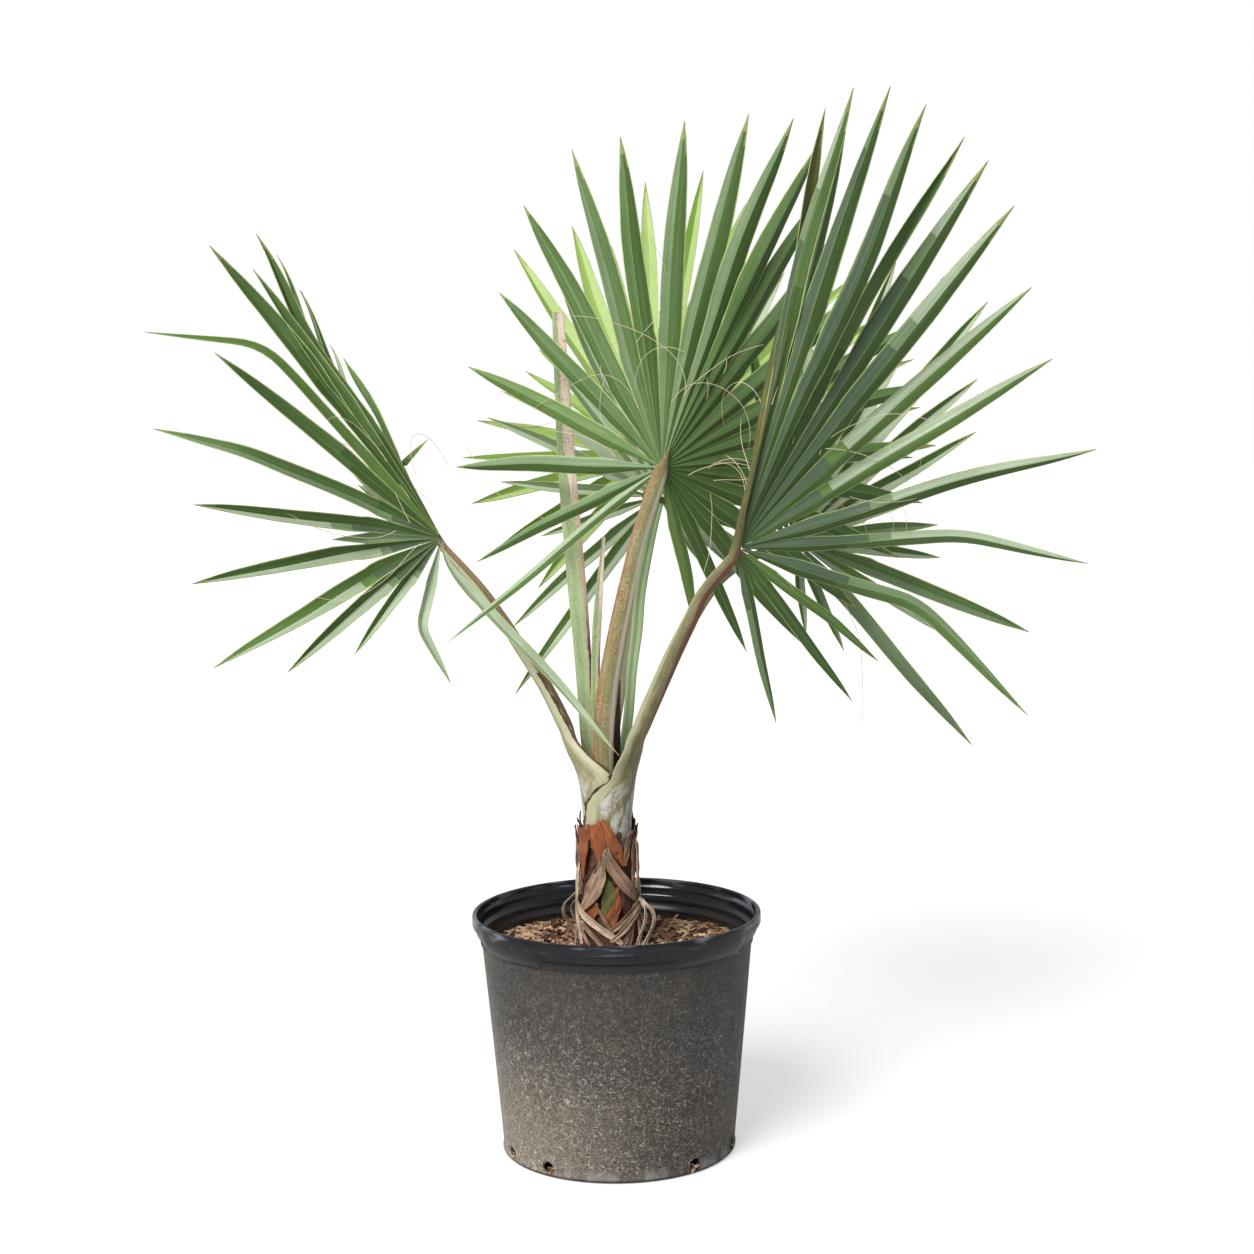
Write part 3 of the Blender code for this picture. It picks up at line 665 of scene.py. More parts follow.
def leaflet_grid(frond, angle, reach, sides, bend, rng, width, own_lift):
    gaps = [min(math.radians(g) / 2, WIDEST_SHARE) for g in sides]
    rooted = not bend or bend[0] > LOWEST_BEND
    webbed = [rooted and math.radians(g) / 2 < WIDEST_SHARE for g in sides]
    notch = min(NOTCH_TO * reach, max(NOTCH_FROM * reach, .92 * width / (gaps[0] + gaps[1])))
    free = 1 - (1 - np.linspace(0, 1, FREE_ROWS + 1)[1:]) ** 1.12
    radii = np.concatenate([np.linspace(LEAF_FROM, notch, WEB_ROWS),
                            notch + free * (reach - notch)])
    line, run = middle_line(frond, angle, reach, bend, radii)
    across, normal = across_at(frond, angle)
    share = radii / reach
    bow, lift = rng.uniform(*BOW) * reach, rng.uniform(*ARCH) * reach
    lift = lift if own_lift is None else own_lift * reach
    arch = np.sin(np.pi * smooth((share - .3) / .7))[:, None]
    line = line + (across * bow + normal * lift) * arch
    twist = rng.uniform(-TWIST, TWIST) * smooth((share - .35) / .6)
    crease = rng.uniform(*CREASE) * frond["crease"]
    facing = np.array(frond["facing"]) * math.copysign(1, normal @ np.array(frond["facing"]))
    outline = np.interp(1 - share, *OUTLINE) * width / 2
    grid = np.zeros((len(radii), len(ACROSS), 3))
    for i, r in enumerate(radii):
        past = float(smooth((r / notch - .9) / 1.2)) * frond["turned"]
        toward = unit(normal * (1 - past) + facing * past)
        side = unit(np.cross(toward, run[i]))
        side = side * math.copysign(1, side @ across)
        up = np.cross(side, run[i])
        up = up * math.copysign(1, up @ toward)
        turn = math.radians(twist[i])
        side, up = (side * math.cos(turn) + up * math.sin(turn),
                    up * math.cos(turn) - side * math.sin(turn))
        fold = WEB_FOLD + (crease - WEB_FOLD) * float(smooth((r / notch - 1) / .8))
        lean = 1 / math.hypot(1, 2 * fold) if r > notch else 1
        beyond = max(0, r - notch)
        half = [min(outline[i] * lean, min(r, notch) * g + beyond * max(g, LOOSE_SHARE))
                for g in gaps]
        loose = float(smooth((r / notch - .80) / .2))
        depth = fold * sum(half)
        for j, v in enumerate(ACROSS):
            k = 0 if v > 0 else 1
            edge = line[i] + side * math.copysign(half[k], v)
            if webbed[k] and loose < 1:
                web = on_fan(frond, angle + math.copysign(math.degrees(gaps[k]), v), r)
                edge = web * (1 - loose) + edge * loose
            belly = BELLY * (1 - abs(v)) * abs(v) * sum(half)
            grid[i, j] = (line[i] * (1 - abs(v)) + edge * abs(v)
                          - up * depth * (1 - abs(v)) - up * belly)
    return grid, radii, notch


print("leaflet grid:", WEB_ROWS + FREE_ROWS, "x", len(ACROSS))

# %% [markdown]
# Each half of a blade takes a tone painted for its slope: the more it is
# turned to the upper left, where the plant was lit, the paler it is, as
# painted light and shade.  A leaflet near the hub stands in the shade of its
# neighbours, so its web gets a darker tone there, painted shade.  The two skins
# of the thickened sheet get their own finishes.

# %% Six fans
LEAFLET_WIDTH, USUAL_REACH = 0.041, .48
END_GAP = 13                                  # degrees beyond the first and last leaflet
PAINTED_LIGHT_FROM = np.array((-.62, -.20, .75))      # the side painted palest, as if lit from there
TONE_STEPS = (-.12, .24, .50)
FRESH_SHARE = .10
POINT_FROM, TIP_FROM = .962, .986             # shares of the reach
HEART_TO, LEAF_SHEET = .016, .0010
WIDTHS, TONES, SHADES = (.90, 1.08), (-.12, .12), (.7, 1.3)      # how far each may stray


def painted_tone_of(face, rng, lift):
    """Finish number from how far a face is turned to the side painted palest: painted light and
    shade.
    """
    value = float(face @ PAINTED_LIGHT_FROM) + lift + rng.uniform(-.10, .10)
    return sum(value >= step for step in TONE_STEPS)


def half_normals(grid, rows):
    """Mean normal of each half of a creased blade."""
    part, out = grid[rows], []
    for a, b in ((1, 4), (5, 8)):
        along = part[1:, a] - part[:-1, a] + part[1:, b] - part[:-1, b]
        over = part[:-1, b] - part[:-1, a]
        out.append(unit(np.cross(over, along).sum(0)))
    return out


def two_sided(piece, front, back):
    """Give the two skins of a thickened sheet, one after the other, their own finishes."""
    polygons = piece.data.polygons
    kinds = np.zeros(len(polygons), np.int32)
    polygons.foreach_get("material_index", kinds)
    kinds[:2 * len(front)] = [*front, *back]
    polygons.foreach_set("material_index", kinds)


def build_fan(name, greens, seed):
    """All leaflets of one fan as one thin body, a finish for each side of each half."""
    frond, rng, heap = FRONDS[name], random.Random(seed), Heap()
    angles, reaches = leaflets(frond)
    gaps = np.abs(np.diff(angles))
    outer = [min(gaps[0], END_GAP), *gaps, min(gaps[-1], END_GAP)]
    reverse = []
    for i, (angle, reach) in enumerate(zip(angles, reaches)):
        width = (LEAFLET_WIDTH * min(1.06, max(.5, (reach / USUAL_REACH) ** .55))
                 * frond["broad"] * frond["widths"].get(i, rng.uniform(*WIDTHS)))
        grid, radii, notch = leaflet_grid(frond, angle, reach, outer[i:i + 2],
                                          frond["bends"].get(i), rng, width,
                                          frond["lifts"].get(i))
        halves = half_normals(grid, (radii > notch) & (radii < reach * .9))
        kinds, backs = np.zeros((2, len(radii) - 1, len(HALF_OF)), int)
        lift = frond["lift"] + rng.uniform(*TONES)
        fresh = rng.random() < FRESH_SHARE
        for h, face in enumerate(halves):
            kinds[:, HALF_OF == h] = painted_tone_of(face, rng, lift)
            backs[:, HALF_OF == h] = painted_tone_of(-face, rng, lift)
        # Painted shade: near the hub, where neighbours shade the web, rows take the dark shaded
        # finish, with a half step beyond.
        shade_to = frond["shade"] * notch * rng.uniform(*SHADES)
        r, look = radii[1:], frond["looks"].get(i)
        shaded = r[:, None] < shade_to * (1 + .16 * HALF_OF)
        nearly = r[:, None] < shade_to * (1.18 + .16 * HALF_OF)
        for side in (kinds, backs):
            side[nearly & (side == 3)] = 2
            side[shaded & (side == 1)] = 0
            side[shaded & (side > 1)] = SHADE
            if look is not None:
                side[:] = look
            elif fresh and greens is GREENS:
                side[side < 3] = FRESH
            side[:, [0, -1]] = MARGIN
            side[np.ix_(r < notch * .85, [0, -1])] = RIDGE
            side[:, 4] = RIB
            side[np.ix_(r > reach * .92, [1, 7])] = POINT
            side[r > reach * POINT_FROM] = POINT
            side[r > reach * TIP_FROM] = TIP
            side[r < HEART_TO] = HEART
        heap.add_grid(grid, kinds, marks_for(grid, radii[:, None], ACROSS, rng.random()))
        reverse.extend(backs.ravel())
    piece = heap.piece(f"fan_{name}", greens + TRIMS, thick=LEAF_SHEET, sharp=24)
    two_sided(piece, heap.finish, reverse)
    stands_for(piece, f"frond_{name}", f"frond_{name}")


for seed, name in enumerate(("left", "front", "right", "back", "middle", "back_right"), 11):
    build_fan(name, BACKLIT_GREENS if name == "back" else GREENS, seed)

# %% [markdown]
# ## Dry and living skins
# Two kinds of skin cover the rest of the plant.  A dead one, on old leaf bases
# and strips, is all fibre: long pale and dark lines with a real relief.  A
# living one, on the stalks, is olive under a pale bloom, with brown-red scurf
# in crusts, thickest toward the foot and along its sharp edges.  The marks on
# the mesh say how far up and how far round a point is, so each stalk can have
# side colours of its own.

# %% Fibre materials
def fibre(name, light, dark, deep, rough=.8, fine=16, crust=.25):
    skin = Skin(name, rough, .3)
    lines, hair = skin.streaks(fine * .35, 10), skin.streaks(fine, 30)
    skin.base(lines["Lines"], light, dark)
    skin.coat(dark, hair["Lines"], .62)
    skin.coat(deep, skin.blotches(38, .42, .62), .45)
    skin.coat(deep, skin.scurf(420, crust), .7)
    skin.shine(hair["Lines"], rough - .12, rough + .08)
    height = skin.plus(hair["Height"], skin.times(lines["Height"], .8))
    return skin.finish(height, .8, .0014)


DRY_SKINS = {
    "TAN": fibre("dry_leaf_tan", (600, 440, 310), (190, 105, 62), (60, 32, 20)),
    "PALE": fibre("dry_leaf_pale", (860, 740, 610), (360, 235, 155), (150, 85, 50)),
    "RUST": fibre("leaf_base_rust", (440, 150, 50), (200, 55, 18), (60, 22, 13), .34, 9, .26),
    "DARK": fibre("leaf_base_dark", (120, 58, 36), (50, 24, 17), (22, 12, 9)),
    "PINK": fibre("leaf_base_pink", (380, 215, 145), (190, 90, 56), (80, 38, 24), .7),
    "GREEN": fibre("leaf_base_green", (170, 190, 55), (85, 98, 30), (60, 36, 18), .6, 9, .2),
}
FRINGE_BROWN = fibre("torn_fringe", (230, 110, 60), (110, 48, 28), (40, 18, 12), .75)
CROWN_SKIN = fibre("crown_skin", (430, 390, 250), (300, 270, 150), (170, 120, 60), .6, 12, .35)
print("dry skins:", list(DRY_SKINS))

# %% [markdown]
# A stalk's skin changes along it and round it.  It could be painted by hand on
# an unwrapped mesh; here the marks take the place of the brush.  Ramps of the
# mark along it lay pale bloom on the foot, ramps of the mark across it colour
# the two edges and the hollow, and the scurf comes last, as on the plant.

# %% Stalk materials
WAX_BLOOM, BRUISE = (560, 555, 520), (200, 140, 130)


def darker(colour, share):
    return tuple(part * share for part in colour)


def stalk(name, main, bloom, left, right, inner, rib, scurf, cover, left_from=.55,
          right_from=.55, bare=1):
    """left and right colour the two edges, inner the hollow face, rib the part under the blade."""
    skin = Skin(f"stalk_{name}_skin", .5, .4)
    along, across, hollow = skin.parts(skin.marks())
    flat = skin.vector(along, across)
    lines, hair = skin.streaks(3.2, 5, flat), skin.streaks(15, 16, flat)
    crust, dots = skin.scurf(260, cover), skin.scurf(620, cover + .08)
    skin.base(lines["Lines"], main, bloom)
    skin.coat(main, skin.blotches(24, .40, .60), .5)
    skin.coat(darker(main, .45), hair["Lines"], .25)
    foot = skin.ramp(along, .10, -.02)
    skin.coat(WAX_BLOOM, skin.times(foot, skin.ramp(lines["Lines"], .25, .60)), .82)
    skin.coat(BRUISE, skin.times(foot, skin.blotches(60, .52, .66)), .55)
    skin.coat(left, skin.ramp(across, -left_from, -left_from - .35))
    skin.coat(right, skin.ramp(across, right_from, right_from + .30))
    skin.coat(inner, skin.ramp(hollow, .05, .45))
    skin.coat(skin.mix(lines["Lines"], rib, darker(rib, .35)), skin.ramp(along, .98, 1.04))
    drift = skin.ramp(skin.noise(flat, 5, 3, .6), .36, .56, (.25, 1))
    worn = skin.times(drift, skin.ramp(skin.times(across, bare), .60, .05, (.12, 1)))
    crusted = skin.times(crust, worn)
    skin.coat(scurf, crusted, .85)
    skin.coat(darker(scurf, .6), skin.times(dots, worn), .70)
    skin.shine(crusted, .5, .85)
    return skin.finish(skin.plus(skin.times(hair["Height"], .7), crust), .5, .0008)


RUST_SCURF, GREY_SCURF = (360, 110, 40), (230, 120, 62)
STALK_SKINS = {
    "left": ((260, 255, 120), (560, 540, 370), (500, 500, 330), (300, 220, 120),
             (280, 195, 110), (420, 370, 230), GREY_SCURF, .30),
    "front": ((250, 270, 110), (480, 470, 290), (800, 700, 570), (420, 230, 120),
              (340, 300, 170), (280, 280, 120), RUST_SCURF, .56, .42, .66, -1),
    "right": ((190, 175, 70), (410, 380, 225), (200, 80, 34), (400, 400, 250),
              (190, 130, 70), (170, 185, 60), GREY_SCURF, .42, .30),
    "back": ((190, 260, 90), (310, 370, 190), (260, 280, 140), (280, 210, 120),
             (240, 260, 140), (260, 340, 120), RUST_SCURF, .38),
    "middle": ((210, 350, 140), (380, 510, 300), (740, 640, 500), (200, 350, 140),
               (260, 360, 180), (230, 330, 130), RUST_SCURF, .16),
    "back_right": ((200, 260, 100), (310, 360, 200), (250, 260, 130), (230, 140, 80),
                   (220, 220, 110), (230, 300, 110), RUST_SCURF, .38),
}
STALK_SKINS = {name: stalk(name, *spec) for name, spec in STALK_SKINS.items()}
print("stalk skins:", list(STALK_SKINS))

# %% [markdown]
# ## Stalks
# Each stalk is a half-moon in section, hollow toward the heart of the plant,
# and runs on as a tapering rib under its blade.  At its foot the left, the
# right and the back stalk open into sheaths.  The left one goes round first,
# the right one laps over it, and together they leave a V in front, out of
# which the other stalks rise.  A sheath is laid out by height and by the turn
# of its two edges round the trunk, and its rings are blended into the
# half-moon above.  Its free edge is a torn brown fringe.

# %% Stalk sizes
# Points from the crown up, widths and thicknesses along them, the way the hollow
# faces at the foot, and the length of the rib; tables are in millimetres.
STALKS = {
    "left": ("""-36.5 -4 572.3, -47.5 -6 606, -60.2 -7 650, -75 -8 686, -102.3 -8 740,
        -143.3 -6 805, -172.5 -4 850, -204.5 -2 894""",
             "30 24, 36 30, 34 26, 29 21, 23 16, 17 12.5", (1, .1, .2), .10),
    "front": ("""-14 -16 572.3, -15.8 -21 615, -16.5 -30 655, -9.5 -43 734, 2.2 -57 800,
        14.7 -70 860, 28.7 -83 920, 42.7 -95 975""",
              "26 18, 32 20, 30 18, 27 16, 24 14, 23 12", (0, 1, .2), .035),
    "right": ("""14.5 -14 572.3, 20.5 -35 610, 30.7 -60 650, 48.5 -90 700, 68.4 -125 750,
        91.8 -170 808.5, 114.4 -212 860, 134.5 -260 907""",
              "30 22, 29 20, 28 19, 25 17, 21 14, 17 11", (-.6, .7, .2), .34),
    "back": ("-11.5 24 572.3, -9.5 40 610, 10 90 730, 33 160 850, 51 240 957",
             "22 14, 24 14, 14 10", (0, -1, .2), .14),
    "middle": ("""6 7 572.3, 12.5 14 615, 22.5 30 680, 29.3 50 751, 37.9 72 810,
        45 100 872, 63.5 145 956""",
               "11 12, 16 12, 16 11, 18 11, 16 10, 12 9", (0, -1, .2), .08),
    "back_right": ("""11.5 24 572.3, 21.5 30 610, 55 50 696, 109 75 798, 168 100 884,
        231 120 924""", "14 13, 18 13, 13 9", (-.5, -.8, .2), .12),
}
# Height, shift of the ring sideways and back, turn of its first and last edge from
# the front in degrees, radius and thickness.
SHEATHS = {
    "left": """488 0 0 -230 35 32.5 3, 520 0 0 -226 35 34 3.5, 545 -.5 0 -220 33 35.2 4,
        565 -1 0 -212 30 36.2 5, 585 -2.5 0 -200 27 36.8 6.5, 599 -5 0 -184 23 37 8,
        608 -8 0 -176 14 37 9, 616 -10.5 0 -168 7 36.8 10, 626 -15 0 -160 -2 36 11.5,
        640 -22 0 -148 -10 34 13.5, 660 -32 0 -130 -30 30 16""",
    "right": """484 0 0 -62 175 36.2 3, 520 0 0 -58 172 38 3.4, 532 0 0 -54 170 38.8 3.6,
        545 .5 0 -52 168 39.5 3.8, 556 1 0 -47 165 40.2 4, 569 2 -.5 -35 160 40.6 4.2,
        581.5 3 -1.5 -18 152 40.8 4.6, 588 3.5 -2 -7 148 40.8 5, 594 4.5 -3 2 142 40.6 5.8,
        603.5 6 -5 6 135 40.4 7, 620 10 -10 8 120 40 9.5, 645 19 -23 14 105 37 13""",
    "back": """492 0 1 95 265 32 3, 560 0 2 100 260 34 4, 600 0 6 115 245 34 7,
        640 1 16 132 228 32 11""",
}
RING = 32                                     # points round a stalk
BLENDS = {"left": (.600, .690), "right": (.602, .690), "back": (.585, .660)}
FRINGES = {"left": (RING // 2, .590, .760), "right": (0, .500, .604)}
TRUNK_FOOT, TRUNK_TOP = np.array((-.012, -.004, .3223)), np.array((-.0135, -.001, .4950))
CROWN_FOOT = 0.5723
print("stalks:", len(STALKS), "sheaths:", len(SHEATHS))

# %% [markdown]
# A curve with a bevel would keep one section all the way, and a stalk does not.
# So each ring of points is placed on its own: a half-moon higher up, a crescent
# round the trunk lower down.  Both go round in the same order, which lets one
# melt into the other.

# %% Rings of stalk and sheath
LEAF_THICK, PLEAT = 0.0066, 0.25              # of the solid blades the ribs run under
EDGE_FLARE = .0014


def rib_drop(frond, s, thick):
    """How far a rib runs under its blade, s from the hub."""
    near = sorted(abs(a) for a in leaflets(frond)[0])[1]
    drop = (LEAF_THICK * .58 + PLEAT * s * math.radians(near) * 1.3 + thick * .35
            + frond["seat"])
    return drop * (.35 + .65 * float(smooth(s / .07)))


def half_moon(centre, along, hollow, width, thick):
    """Ring of points and, for each, its cosine and sine as marks."""
    across = unit(np.cross(along, hollow))
    face = np.cross(across, along)
    ring, marks = [], []
    for k in range(RING):
        a = 2 * math.pi * k / RING
        c, s = math.cos(a), math.sin(a)
        rise = thick * ((.30 - .34 * (1 - abs(c)) ** 1.5) if s > 0 else .65) * s
        ring.append(centre + across * c * width / 2 + face * rise)
        marks.append((c, s))
    return np.array(ring), np.array(marks)


def sheath_ring(z, right, back, first, last, radius, thick):
    """Crescent round the trunk, point for point like a half-moon."""
    ring = []
    for k in range(RING):
        a = 2 * math.pi * k / RING
        turn = math.radians((first + last) / 2 + math.cos(a) * (first - last) / 2)
        r = radius + (-.5 if math.sin(a) > 0 else .5) * thick * abs(math.sin(a)) ** .5
        r += EDGE_FLARE * max(0, math.cos(a)) ** 8
        ring.append((TRUNK_TOP[0] + right + math.sin(turn) * r,
                     TRUNK_TOP[1] + .001 + back - math.cos(turn) * r, z))
    return np.array(ring)


def sheath_rings(name, path, rings):
    """Blend the lowest rings into the sheath and return the part below them."""
    rows = table(SHEATHS[name], "mmm..mm")
    top = rows[-1, 0]

    def ring_at(z):
        return sheath_ring(*(np.interp(z, rows[:, 0], column) for column in rows.T))

    low, high = BLENDS[name]
    for k, z in enumerate(path[:, 2]):
        if z < high:
            t = float(smooth((z - low) / (high - low)))
            rings[k] = ring_at(z) * (1 - t) + rings[k] * t
            if z > top:
                rings[k] = rings[k] + (0, 0, (z - top) * (1 - t))
    return [ring_at(z) for z in np.linspace(rows[0, 0], CROWN_FOOT, 22)[:-1]]


def add_fringe(heap, rng, name, grid):
    """Torn brown edge along a sheath."""
    edge, low, high = FRINGES[name]
    rows = [k for k in range(len(grid)) if low < grid[k, edge, 2] < high]
    base = grid[rows, edge]
    out = unit(base - (grid[rows, edge - 2] + grid[rows, (edge + 2) % RING]) / 2)
    count = len(rows) * 4
    base, out = spread(base, count), spread(out, count)
    wave = rng.uniform(0, 6)
    reach = np.array([.0022 + .0020 * math.sin(k * .23 + wave) + rng.uniform(-.0012, .0026)
                      for k in range(count)])[:, None]
    root = np.array([.0026 + .0012 * math.sin(k * .41 + wave) for k in range(count)])[:, None]
    strip = np.stack([base - out * root + (0, -.0004, 0), base - out * .0006 + (0, -.0009, 0),
                      base + out * np.maximum(reach, .0002) + (0, -.0006, 0)], 1)
    marks = marks_for(strip, np.arange(count)[:, None] * .004, (-1, 0, 1))
    heap.add_grid(strip, 1, marks)
    heap.add_grid((strip + (0, -.0007, 0))[:, ::-1], 1, marks)


print("ring of", RING, "points")

# %% [markdown]
# One function then builds all six.  It runs a curve through the points, sets a
# ring at every station, adds the sheath below and the rib above, and closes
# both ends, so that each stalk is a solid body.

# %% Six stalks
STATIONS = 90
RIB_SHARES = (.03, .08, .16, .28, .45, .70, 1)


def build_stalk(name):
    frond, (points, sizes, faces, rib) = FRONDS[name], STALKS[name]
    points, sizes = table(points, "mmm"), table(sizes, "mm")
    along, _, normal = frame_of(frond)
    hub = np.array(frond["hub"])
    tip_width, tip_thick = sizes[-1]
    lead = hub - along * .014 - normal * rib_drop(frond, 0, tip_thick)
    path, widths = bent([*points, lead], STATIONS), spread(sizes, STATIONS)
    run = unit(np.gradient(path, axis=0))
    run[-1] = unit(run[-1] + along)
    rings, marks = [], []
    for k in range(STATIONS):
        t = k / (STATIONS - 1)
        hollow = unit(faces) * (1 - t ** 1.3) + normal * t ** 1.3
        ring, mark = half_moon(path[k], run[k], hollow, *widths[k])
        rings.append(ring)
        marks.append(np.c_[np.full(RING, t), mark])
    if name in SHEATHS:
        lower = sheath_rings(name, path, rings)
    else:
        lower = [rings[0] * (.85, .85, 1) + path[0] * (.15, .15, 0) - (0, 0, d)
                 for d in (.045, .030, .015)]
    for share in RIB_SHARES:
        s = rib * share
        thick = tip_thick * (1 - .90 * share ** .6)
        centre = (hub + along * s - normal * rib_drop(frond, s, thick)
                  - np.array((0, 0, frond["droop"] * s * s)))
        ring, mark = half_moon(centre, along, normal,
                               tip_width * (1 - .94 * share ** .55), thick)
        rings.append(ring)
        marks.append(np.c_[np.full(RING, 1 + share), mark])
    low_marks = [np.c_[(ring[:, 2] - CROWN_FOOT) / .45, marks[0][:, 1:]] for ring in lower]
    grid, heap = np.array(lower + rings), Heap()
    heap.add_grid(grid, 0, np.array(low_marks + marks), ring=True)
    if name in FRINGES:
        add_fringe(heap, random.Random(41), name, grid)
    piece = heap.piece(f"leaf_stalk_{name}", [STALK_SKINS[name], FRINGE_BROWN], sharp=60)
    stands_for(piece, f"stalk_{name}", f"stalk_{name}")


for name in STALKS:
    build_stalk(name)

# %% [markdown]
# ## Trunk
# Under the crown the trunk is short and dark, ringed with the scars of fallen
# leaves.  It is one turned body whose wall waves with its bark, since a bump
# alone would leave its edge smooth.

# %% Trunk core
TRUNK_BARK = streaked("trunk_bark", (45, 26, 22), (105, 60, 42), (170, 55, 24), .85, .3,
                      (60, 16), (45, .40, .62), .6, (.8, .002))


def axis_at(z):
    t = (z - TRUNK_FOOT[2]) / (TRUNK_TOP[2] - TRUNK_FOOT[2])
    return TRUNK_FOOT * (1 - t) + TRUNK_TOP * t


TRUNK_ENDS, TRUNK_RADIUS, FOOT_FLARE = (.318, .505), .0365, .008


def build_trunk(columns=120):
    wave = np.random.default_rng(5).uniform(0, 2 * np.pi, 14)
    heights, a, rows = np.linspace(*TRUNK_ENDS, 60), turns(columns), []
    for z in heights:
        t = (z - .3223) / .1727
        base = TRUNK_RADIUS + FOOT_FLARE * ((1 - t) * .5 + .5 * float(smooth(1 - t * 6)))
        ridge = sum(np.sin(a * (7 + 5 * k) + wave[k] + z * (30 + 22 * k)) / (2 + k)
                    for k in range(8))
        scar = .0009 * np.sin(z * 520 + 3 * np.sin(a * 2 + wave[9]))
        rows.append(level_ring(a, base - .0015 + .0005 * ridge + scar, z, axis_at(z), .97))
    grid, heap = np.array(rows), Heap()
    heap.add_grid(grid, 0, marks_for(grid, heights[:, None], a / np.pi - 1), ring=True)
    stands_for(heap.piece("palm_trunk", [TRUNK_BARK], sharp=80), "trunk", "trunk")


build_trunk()

# %% [markdown]
# Old leaf bases cling to the trunk in layers: rust-brown plates that are still
# smooth, then grey-tan strips, split and crossed over each other, each with a
# crease and torn ends.  They are laid out by turn round the trunk and height,
# the way they would be pinned on.  A strip's two long edges wander a little,
# and its end is torn to points of different length.

# %% One strip
BARK_RADIUS = .0400
TEAR_FROM = .82                               # share of a strip's length


def on_trunk(turn, z, out):
    a, mid = math.radians(turn), axis_at(z)
    return np.array((mid[0] + math.sin(a) * (BARK_RADIUS + out),
                     mid[1] - math.cos(a) * (BARK_RADIUS + out), z))


def add_strip(heap, rng, stations, widths, finish, crease, tear, rows, columns, hug=1.0):
    """stations: (turn, height, out) rows; widths: half widths spread along it."""
    where = bent(stations, rows)
    half = np.interp(np.linspace(0, 1, rows), np.linspace(0, 1, len(widths)), widths)
    line = np.array([on_trunk(*s) for s in where])
    run = unit(np.gradient(line, axis=0))
    v = np.linspace(-1, 1, columns)
    wander = [rng.uniform(0, 6.28) for _ in range(4)]
    number = rng.random()
    tears = [rng.uniform(.2, 1) for _ in range(columns)]
    length = np.linalg.norm(np.diff(line, axis=0), axis=1).sum()
    grid = np.zeros((rows, columns, 3))
    for i in range(rows):
        t = i / (rows - 1)
        a = math.radians(where[i][0])
        side = unit(np.cross((math.sin(a), -math.cos(a), 0), run[i]))
        out = np.cross(run[i], side)
        w = half[i] * (1 + .07 * math.sin(9 * t + wander[0]) + .05 * math.sin(23 * t + wander[1]))
        for j in range(columns):
            x = v[j] * w
            curl = -hug * x * x / .085 + crease * (abs(v[j]) - .5) * w
            curl += .0006 * math.sin(4 * v[j] + 14 * t + wander[2])
            grid[i, j] = line[i] + side * x + out * curl
            if t > TEAR_FROM:
                grid[i, j] -= (run[i] * (t - TEAR_FROM) / (1 - TEAR_FROM) * tear * tears[j]
                               * length * .25)
    along = np.arange(rows) / (rows - 1) * length
    heap.add_grid(grid, finish, marks_for(grid, along[:, None], v, number))


print("strip tool ready")

# %% [markdown]
# Thirty strips written as code would bury their shapes, so the tables below
# hold one strip to a line: its finish, then its stations as turn in degrees,
# height and distance off the trunk in millimetres, then its half widths.  The
# back of the trunk wears the same strips at slightly other heights.

# %% Plates, split bases and strips
PLATES = """
GREEN; -1 375 3, 0 397 3.5, 1 419 3.5, -1 441 3; 9.9 10.7 9.9 4.6
RUST; -39 366 3, -38 379 3.5, -30 392 3.5, -23 404 3; 3.1 9.2 8.4 2.3
RUST; -1 356 4, 8 378 4, 17 398 3.5, 22 416 3, 22 430 3; 4.6 9.9 9.9 6.9 3.1
DARK; 48 371 5, 43 394 5.5, 34 415 5, 26 435 4.5; 6.9 10.7 7.6 3.1
RUST; -56 437 5, -55 462 6, -53 484 7, -51 506 8, -50 522 8.5; 2.3 6.5 11 15 15.8
RUST; -8 462 6, -12 482 7.2, -17 501 8.2, -22 516 8.6, -26 530 8.4; 3.8 10 12.8 12.4 10.4
RUST; 36 459 5, 22 479 6.4, 8 499 7.2, -5 517 7, -13 534 6.2; 4 8.8 11.2 10.8 8
PINK; 38 458 5.5, 42 479 6.5, 47 498 7.5, 53 512 8; 3.1 5.3 4.6 2.3
PINK; 59 426 6, 61 451 7.5, 60 477 8.5, 60 504 9; 3.1 6.1 6.1 4.6
PALE; 66 420 9.5, 69 448 11, 70 474 11, 65 501 10; 2.8 4.6 5 3
DARK; -66 492 8.5, -70 504 9.5, -74 520 10.5; 3.6 3.6 .6
DARK; 51 491 8.5, 56 506 9.5, 68 520 10; 2.3 3.1 .6
DARK; -68 498 4.5, -67 521 4.5, -64 543 4; 2.3 2.3 .6
PINK; -72 452 6, -72 476 7, -74 500 7.5; 6 8 5
DARK; 16 478 6, 24 498 5, 28 514 4; 5 6 3"""
SPLITS = """
TAN; 69 396 10, 42 419 11.5, 22 442 12, 7 463 11.5, 0 479 11, 2 494 11.5; 3.1 8.4 10.7 9.9 6.9 2
TAN; -54 389 10, -37 407 10.5, -24 426 10.5, -15 445 9.5, -11 461 9, -12 475 9.5;\
    4.6 10.7 13 11.5 6.9 2
DARK; -56 415 8.5, -40 435 9.5, -26 452 9.5, -16 467 9; 3.1 5.3 4.6 2.3
PINK; -57 412 8, -59 432 8, -68 451 7.5; 3.1 3.8 2.3
TAN; 62 400 7, 58 420 8, 56 440 8; 4 6 3"""
